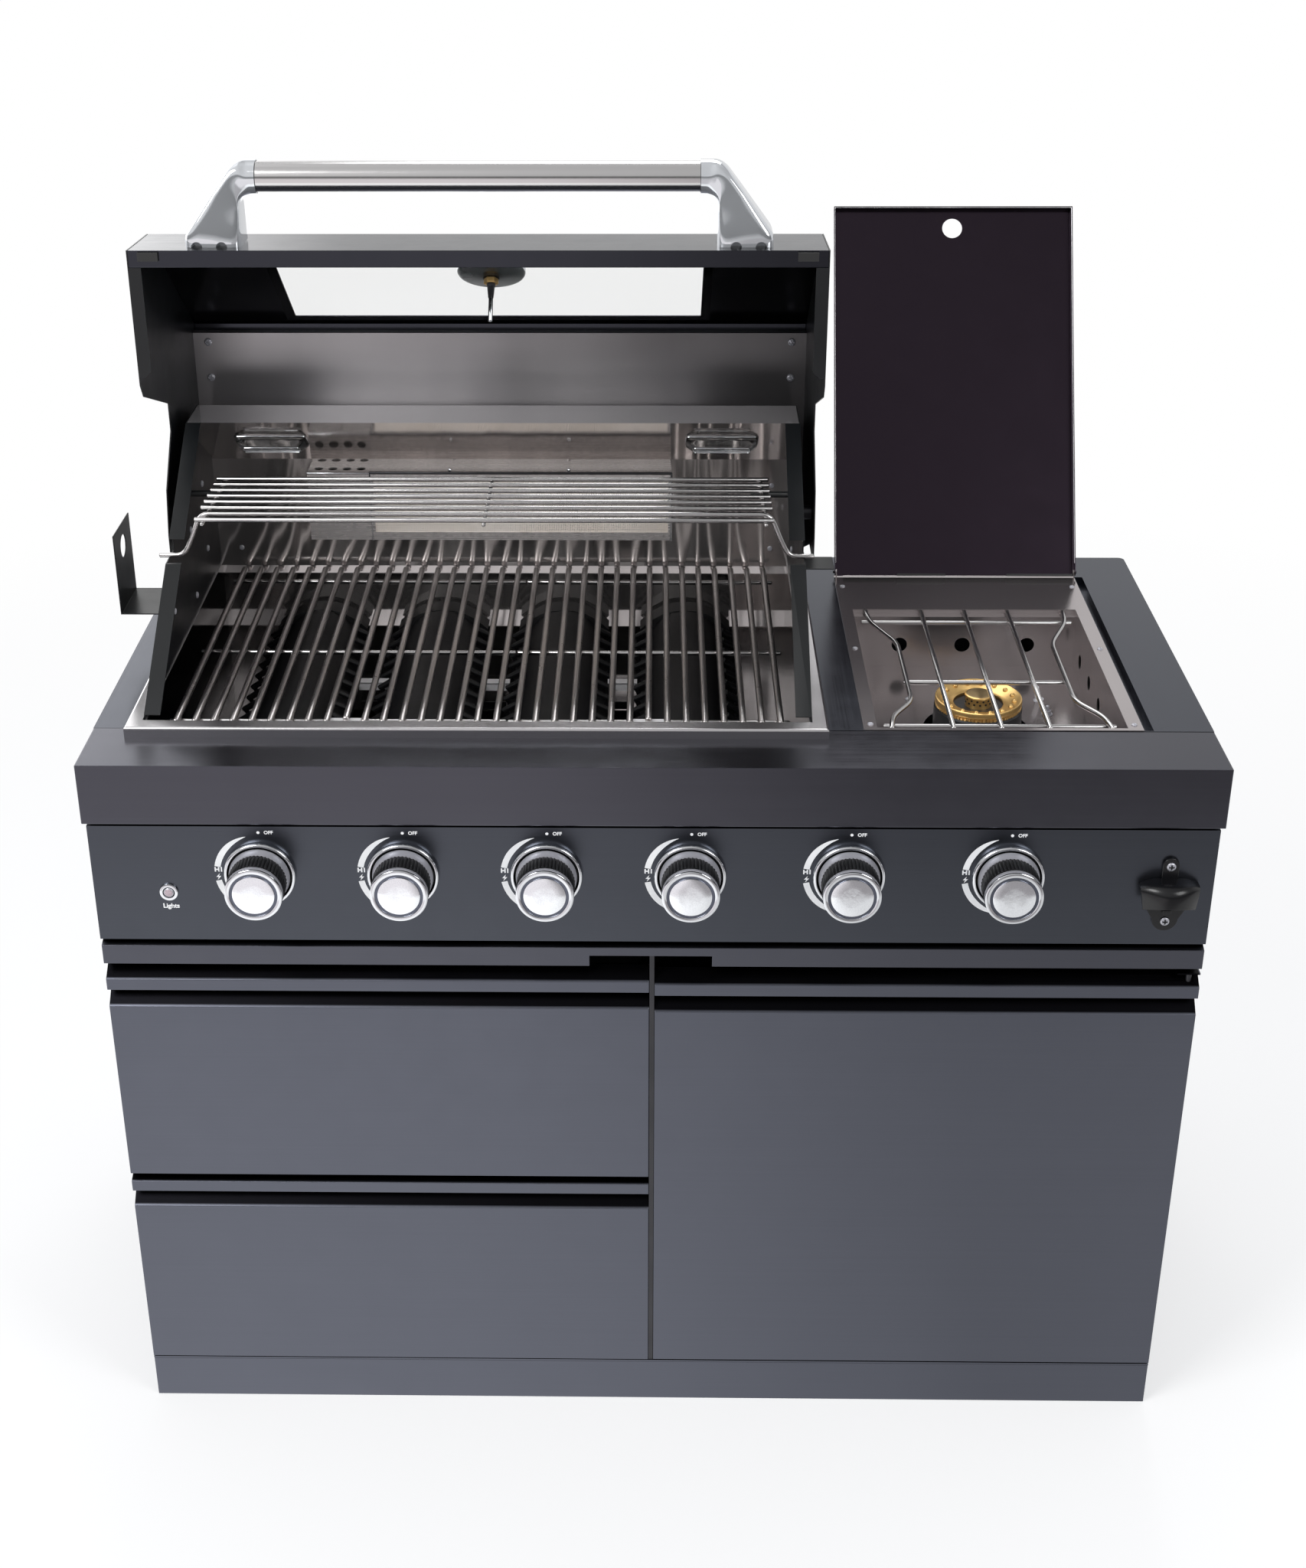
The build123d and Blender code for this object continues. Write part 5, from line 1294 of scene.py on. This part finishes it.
opener = {
    "x": 593.0, "panel": 2.0, "low": -195.0, "high": -123.0, "plate": 3.6,
    "half": (34.5, 30.5),     # half the jaw's width at its top and at its mouth
    "top": (56.0, 7.0),       # height of the jaw's top over the lower screw, and its fall
    "mouth": (22.0, 8.0),     # the mouth's height, and how far it arches
    "depth": (31.0, 15.0),    # how far the jaw stands out, and how much less at its sides
    "square": (0.42, 0.62),   # powers that square up the quarter arch
    "wall": 3.6,
    "lobe": (15, 2),          # radius of the lower lobe, and the height of its middle
    "wings": (25, 20, 40),    # half width, foot and top of the back plate
    "tab": 9.5,
    "tabFoot": (4, 44, 56),   # how much wider it starts, and where it has narrowed
    "tooth": ((-5, 12), (5, 12), (5, 17), (-5, 17)),
    "edge": 0.0008,
}


def makeOpener(s):
    # a jaw whose section is a rounded quarter arch, swept round a shallow curve;
    # behind it a back plate with a round lobe, and a tab for the upper screw
    piece = Piece("bottle_opener_dressed", "root")
    turn = np.linspace(0, pi / 2, 12)
    out, rise = np.sin(turn) ** s["square"][0], np.cos(turn) ** s["square"][1]
    width = s["half"][0] + (s["half"][1] - s["half"][0]) * (1 - rise)
    rows = []
    for u in np.linspace(-1, 1, 25):
        topZ = s["low"] + s["top"][0] - s["top"][1] * abs(u) ** 3
        mouthZ = s["low"] + s["mouth"][0] + s["mouth"][1] * (1 - u * u)
        reach = s["depth"][0] - s["depth"][1] * u * u
        outer, inner = (np.column_stack((s["x"] + u * (width - wall),
                                         s["panel"] - (reach - wall) * out,
                                         mouthZ + (topZ - mouthZ - wall) * rise))
                        for wall in (0, s["wall"]))
        rows.append(np.concatenate((outer, inner[::-1])))
    piece.grid(np.stack(rows), "gloss")
    a = np.linspace(0, pi, 15)
    place = np.array((s["x"], s["low"]))
    lobeR, lobeZ = s["lobe"]
    wing, foot, top = s["wings"]
    lobe = np.column_stack((-lobeR * np.cos(a), lobeZ - lobeR * np.sin(a)))
    plate = np.concatenate((((-wing, top), (-wing, foot)), lobe, ((wing, foot), (wing, top))))
    r = s["tab"]
    wider, start, narrow = s["tabFoot"]
    tab = np.column_stack((r * np.cos(a), s["high"] - s["low"] + 1 + r * np.sin(a)))
    tab = np.concatenate((((r + wider, start), (r, narrow)), tab,
                          ((-r, narrow), (-r - wider, start))))
    panel = s["panel"]
    for outline, back, front in ((plate, panel, panel - s["plate"]),
                                 (tab, panel, panel - (s["plate"] + 0.6)),
                                 (np.array(s["tooth"]), panel - 3, panel - 9)):
        piece.grid(sheet(outline + place, back, front), "gloss")
    roundEdges(piece.make("bottle_opener", smooth=50), s["edge"])


lidSeal = {"hinge": (568.0, 9.0), "open": 120.0, "gaps": ((0.26, 0.46), (0.715, 0.99)),
           "depth": (570.7, 573.05), "height": (4.7, 13.0), "edge": 2.7, "inset": 0.8,
           "front": 68.8, "rear": 556}


def openLid(points):
    # points of the shut side lid, turned up about its hinge by the angle it stands open
    y0, z0 = lidSeal["hinge"]
    c, s = cos(radians(lidSeal["open"])), sin(radians(lidSeal["open"]))
    p = np.asarray(points, float)
    y, z = p[..., 1] - y0, p[..., 2] - z0
    return toFrame(np.stack((p[..., 0], y0 + y * c + z * s, z0 - y * s + z * c), -1))


def makeLidSeal(s):
    # the bare edge of the lid's folded skirt, and the dark seal along its hinged edge, with
    # a gap for each of its two bright tabs
    low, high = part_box("side_lid")
    x0, x1, width = low[0] * 1000, high[0] * 1000, (high[0] - low[0]) * 1000
    piece = Piece("lid_edge_seals", "side_lid", openLid)
    left, right, z = x0 + s["inset"], x1 - s["inset"], s["edge"]
    edge = ((left, s["rear"], z), (left, s["front"], z), (right, s["front"], z),
            (right, s["rear"], z))
    piece.grid(rod(edge, 1.0, 8, bend=3), "clip")
    for start, end in s["gaps"]:
        piece.grid(bar((x0 + start * width, s["depth"][0], s["height"][0]),
                       (x0 + end * width, s["depth"][1], s["height"][1])), "grip")
    piece.make()


# screws: their place or row, then the head's radius and height
smallParts = {
    "tray": (1.2, 3.4, 1.8),
    "traySpots": [(x, y) for y in (535, 330, 112) for x in (254.75, 560.75)],
    "opener": (-2.2, 5.2, 2.6),
    "openerCross": ((2.8, 0.5), (0.5, 2.8)),
    "cheek": (387.0, 4.2, 2.4),
    "cheekSpots": ((130, 18), (215, 40), (300, 62), (430, 30), (430, 120), (520, 60),
                   (520, 150)),
    "wall": (600.0, 3.4, 1.8),
    "wallSpots": ((-560, 30), (160, 30), (-560, 120), (160, 120)),
    "liner": (385, 326.8, 5.0, 3.2),
    "linerSpots": (276, 324),
}


def makeSmallParts(s):
    # screws of the tray, opener, cheeks and rear wall, and the liner's bolts
    piece = Piece("screws_dressed", "root")
    z, *size = s["tray"]
    for x, y in s["traySpots"]:
        piece.grid(panHead((x, y, z), (0, 0, 1), *size), "satin")
    y, *size = s["opener"]
    x = opener["x"]
    for z in (opener["low"], opener["high"]):
        piece.grid(panHead((x, y, z), (0, -1, 0), *size), "satin")
        # dark bars over each opener screw paint the shade in its cross recess
        for dx, dz in s["openerCross"]:
            piece.grid(bar((x - dx, y - 2.9, z - dz), (x + dx, y - 2.0, z + dz)), "grip")
    reach, *size = s["cheek"]
    for y, z in s["cheekSpots"]:
        for side in (-1, 1):
            piece.grid(panHead((headX + side * reach, y, z), (-side, 0, 0), *size), "satin")
    y, *size = s["wall"]
    for x, z in s["wallSpots"]:
        piece.grid(panHead((x, y, z), (0, -1, 0), *size), "satin")
    piece.make("screws")
    bolts = Piece("liner_bolts", "hood", openHood)
    reach, z, *size = s["liner"]
    for y in s["linerSpots"]:
        for side in (-1, 1):
            bolts.grid(panHead((headX + side * reach, y, z), (0, 0, -1), *size), "satin")
    bolts.make()


rolled = {
    0.0014: ["worktop_front"],
    0.0011: ["drawer_front_upper", "drawer_front_lower", "door", "drip_tray"],
    0.0008: ["hood_shell", "side_lid", "plinth"],
    0.0007: ["head_side_plates"],
    0.0005: ["rotisserie_brackets"],
}


def roundCadEdges():
    for width, names in rolled.items():
        for name in names:
            roundEdges(nodes[name], width, weld=True)


makeKnobs(knobs)
makeLightSwitch(lightSwitch)
makeLabels(labels)
makePosts(posts)
makeHandle(handle)
makeGauge(gauge)
print("knobs, labels and handle made")
makeGrates(grates)
makeRack(rack)
makePanSupport(support)
makeBurnerRing(burner)
makeTamers(tamers)
makeClips(clips)
makeBurnerTrim(burnerTrim)
makeElectrode(electrode)
makeLampGlasses(lampGlass)
makeOpener(opener)
makeLidSeal(lidSeal)
makeSmallParts(smallParts)
roundCadEdges()
print("grates, burners and small parts made")


stage = {
    "reach": 14.0,
    "colour": (0.8, 0.8, 0.8, 1),
    "nearWhite": 0.52,      # glow under the shadow, close to the object
    "albedo": 0.5,
    "fade": (1.3, 3.2),     # distance over which the floor turns plain white
    "sweep": (-1.739, -1.727),    # y where the white sweep ends; polished parts show the line
    "beyond": (0.70, 0.665, 0.68),
    "beyondSides": (1.0, 0.62, -0.2, 0.5),     # level at left and right, and over which x
    "sides": (1.36, 0.80, -0.35, 0.45),        # the same for the whole floor in a mirror
}


def makeStage(s):
    # a pale floor that keeps the shadow and turns to plain white further out
    w = s["reach"]
    mesh = bpy.data.meshes.new("floor")
    mesh.from_pydata([(-w, -w, 0), (w, -w, 0), (w, w, 0), (-w, w, 0)], [], [(0, 1, 2, 3)])
    floor = bpy.data.objects.new("floor", mesh)
    scene.collection.objects.link(floor)
    p = Paint("floor_paint", Roughness=0.8, Base_Color=s["colour"])
    coords = p.node("ShaderNodeTexCoord")
    far = p.node("ShaderNodeVectorMath", {"Vector": coords.outputs["Object"]},
                 operation="LENGTH")
    out = p.ramp(far.outputs["Value"], 0, 1, *s["fade"])
    x, y = p.axis("Object", "X"), p.axis("Object", "Y")
    boards = p.node("ShaderNodeVectorMath", {0: p.ramp(x, *s["beyondSides"])},
                    operation="MULTIPLY")
    boards.inputs[1].default_value = s["beyond"]
    front = p.mix(p.ramp(y, 0, 1, *s["sweep"]), boards.outputs[0], (1.0, 1.0, 1.0))
    across = p.ramp(x, *s["sides"])
    grey = p.node("ShaderNodeBsdfDiffuse", {"Color": p.mix(out, (s["albedo"],) * 3, (0, 0, 0))})
    shine = p.node("ShaderNodeEmission", {"Strength": p.ramp(out, s["nearWhite"], 1.0, 0, 1)})
    seen = p.node("ShaderNodeAddShader", {0: grey.outputs[0], 1: shine.outputs[0]})
    mirrored = p.node("ShaderNodeEmission", {"Color": front, "Strength": across})
    path = p.node("ShaderNodeLightPath").outputs
    lit = p.between(path["Is Glossy Ray"], p.shader.outputs[0], mirrored.outputs[0])
    lit = p.between(path["Is Camera Ray"], lit, seen.outputs[0])
    lit = p.between(path["Is Transmission Ray"], lit, p.node("ShaderNodeEmission").outputs[0])
    p.link(lit, p.out.inputs["Surface"])
    mesh.materials.append(p.material)


studio = {
    "light": ((0.86, 0.88, 0.92, 1), 0.62),   # what the world lights matt surfaces with
    "wall": (1.0, 0.44, 0.46, 0.62),  # level low and high, and the sines it changes between
    "roof": (0.31, 0.75, 0.98),       # added overhead, between these sines
    "window": (3.0, 1.0, -0.26, -0.14),   # a bright window behind on the left, then plain
    "room": (0.95, 0.5, -0.35, 0.35),     # towards the front, from left to right
    "behind": (-0.15, 0.15),
    # level by sine of the angle in front: pale wall, a dark gap, then soft boxes
    "bands": ((0.0, 0.8), (0.46, 0.8), (0.49, 0.1), (0.56, 0.12), (0.6, 1.0), (1.0, 1.0)),
}


def makeWorld(s):
    # white behind the object, dimmer above and in front for what metal mirrors
    world = bpy.data.worlds.new("studio")
    scene.world = world
    world.use_nodes = True
    w = Nodes(world.node_tree)
    soft = w.tree.nodes["Background"]
    soft.inputs["Color"].default_value, soft.inputs["Strength"].default_value = s["light"]
    x, y, z = (w.axis("Object", letter) for letter in "XYZ")
    level = w.maths("MULTIPLY", w.ramp(z, *s["wall"]), w.ramp(x, *s["window"]))
    whole = w.maths("ADD", level, w.ramp(z, 0.0, *s["roof"]))
    # the colour ramp reads 0 for straight down and 1 for straight up
    bands = w.node("ShaderNodeValToRGB", {"Fac": w.ramp(z, 0.0, 1.0, -1.0, 1.0)})
    stops = bands.color_ramp.elements
    for number, (place, grey) in enumerate(s["bands"]):
        stop = stops[number] if number < 2 else stops.new(place)
        stop.position = place
        stop.color = (grey, grey, grey, 1)
    front = w.maths("MULTIPLY", w.ramp(x, *s["room"]), bands.outputs["Color"])
    room = w.node("ShaderNodeMix", {"Factor": w.ramp(y, 0.0, 1.0, *s["behind"]), "A": front,
                                    "B": whole}, data_type="FLOAT")
    shown = w.node("ShaderNodeBackground", {"Strength": room.outputs[0]})
    white = w.node("ShaderNodeBackground", Color=(1, 1, 1, 1))
    path = w.node("ShaderNodeLightPath").outputs
    clear = w.maths("MAXIMUM", path["Is Camera Ray"], path["Is Transmission Ray"])
    lit = w.between(path["Is Glossy Ray"], soft.outputs[0], shown.outputs[0])
    lit = w.between(clear, lit, white.outputs[0])
    w.link(lit, w.tree.nodes["World Output"].inputs[0])


lamps = {
    "key": {"place": (-2.0, -2.0, 3.2), "size": 1.6, "power": 70},
    "fill": {"place": (2.4, -2.2, 2.6), "size": 1.4, "power": 35},
    "rear": {"place": (0.2, 2.2, 3.6), "size": 1.8, "power": 40},
}


def makeLamps(target=(0, 0, 0.8)):
    # soft square lamps that all aim at the middle of the object
    for name, s in lamps.items():
        data = bpy.data.lights.new(name, "AREA")
        data.size = s["size"]
        data.energy = s["power"]
        lamp = bpy.data.objects.new(name, data)
        lamp.location = s["place"]
        aim = Vector(target) - Vector(s["place"])
        lamp.rotation_euler = aim.to_track_quat("-Z", "Y").to_euler()
        scene.collection.objects.link(lamp)


makeStage(stage)
makeWorld(studio)
makeLamps()
print("stage and light set")
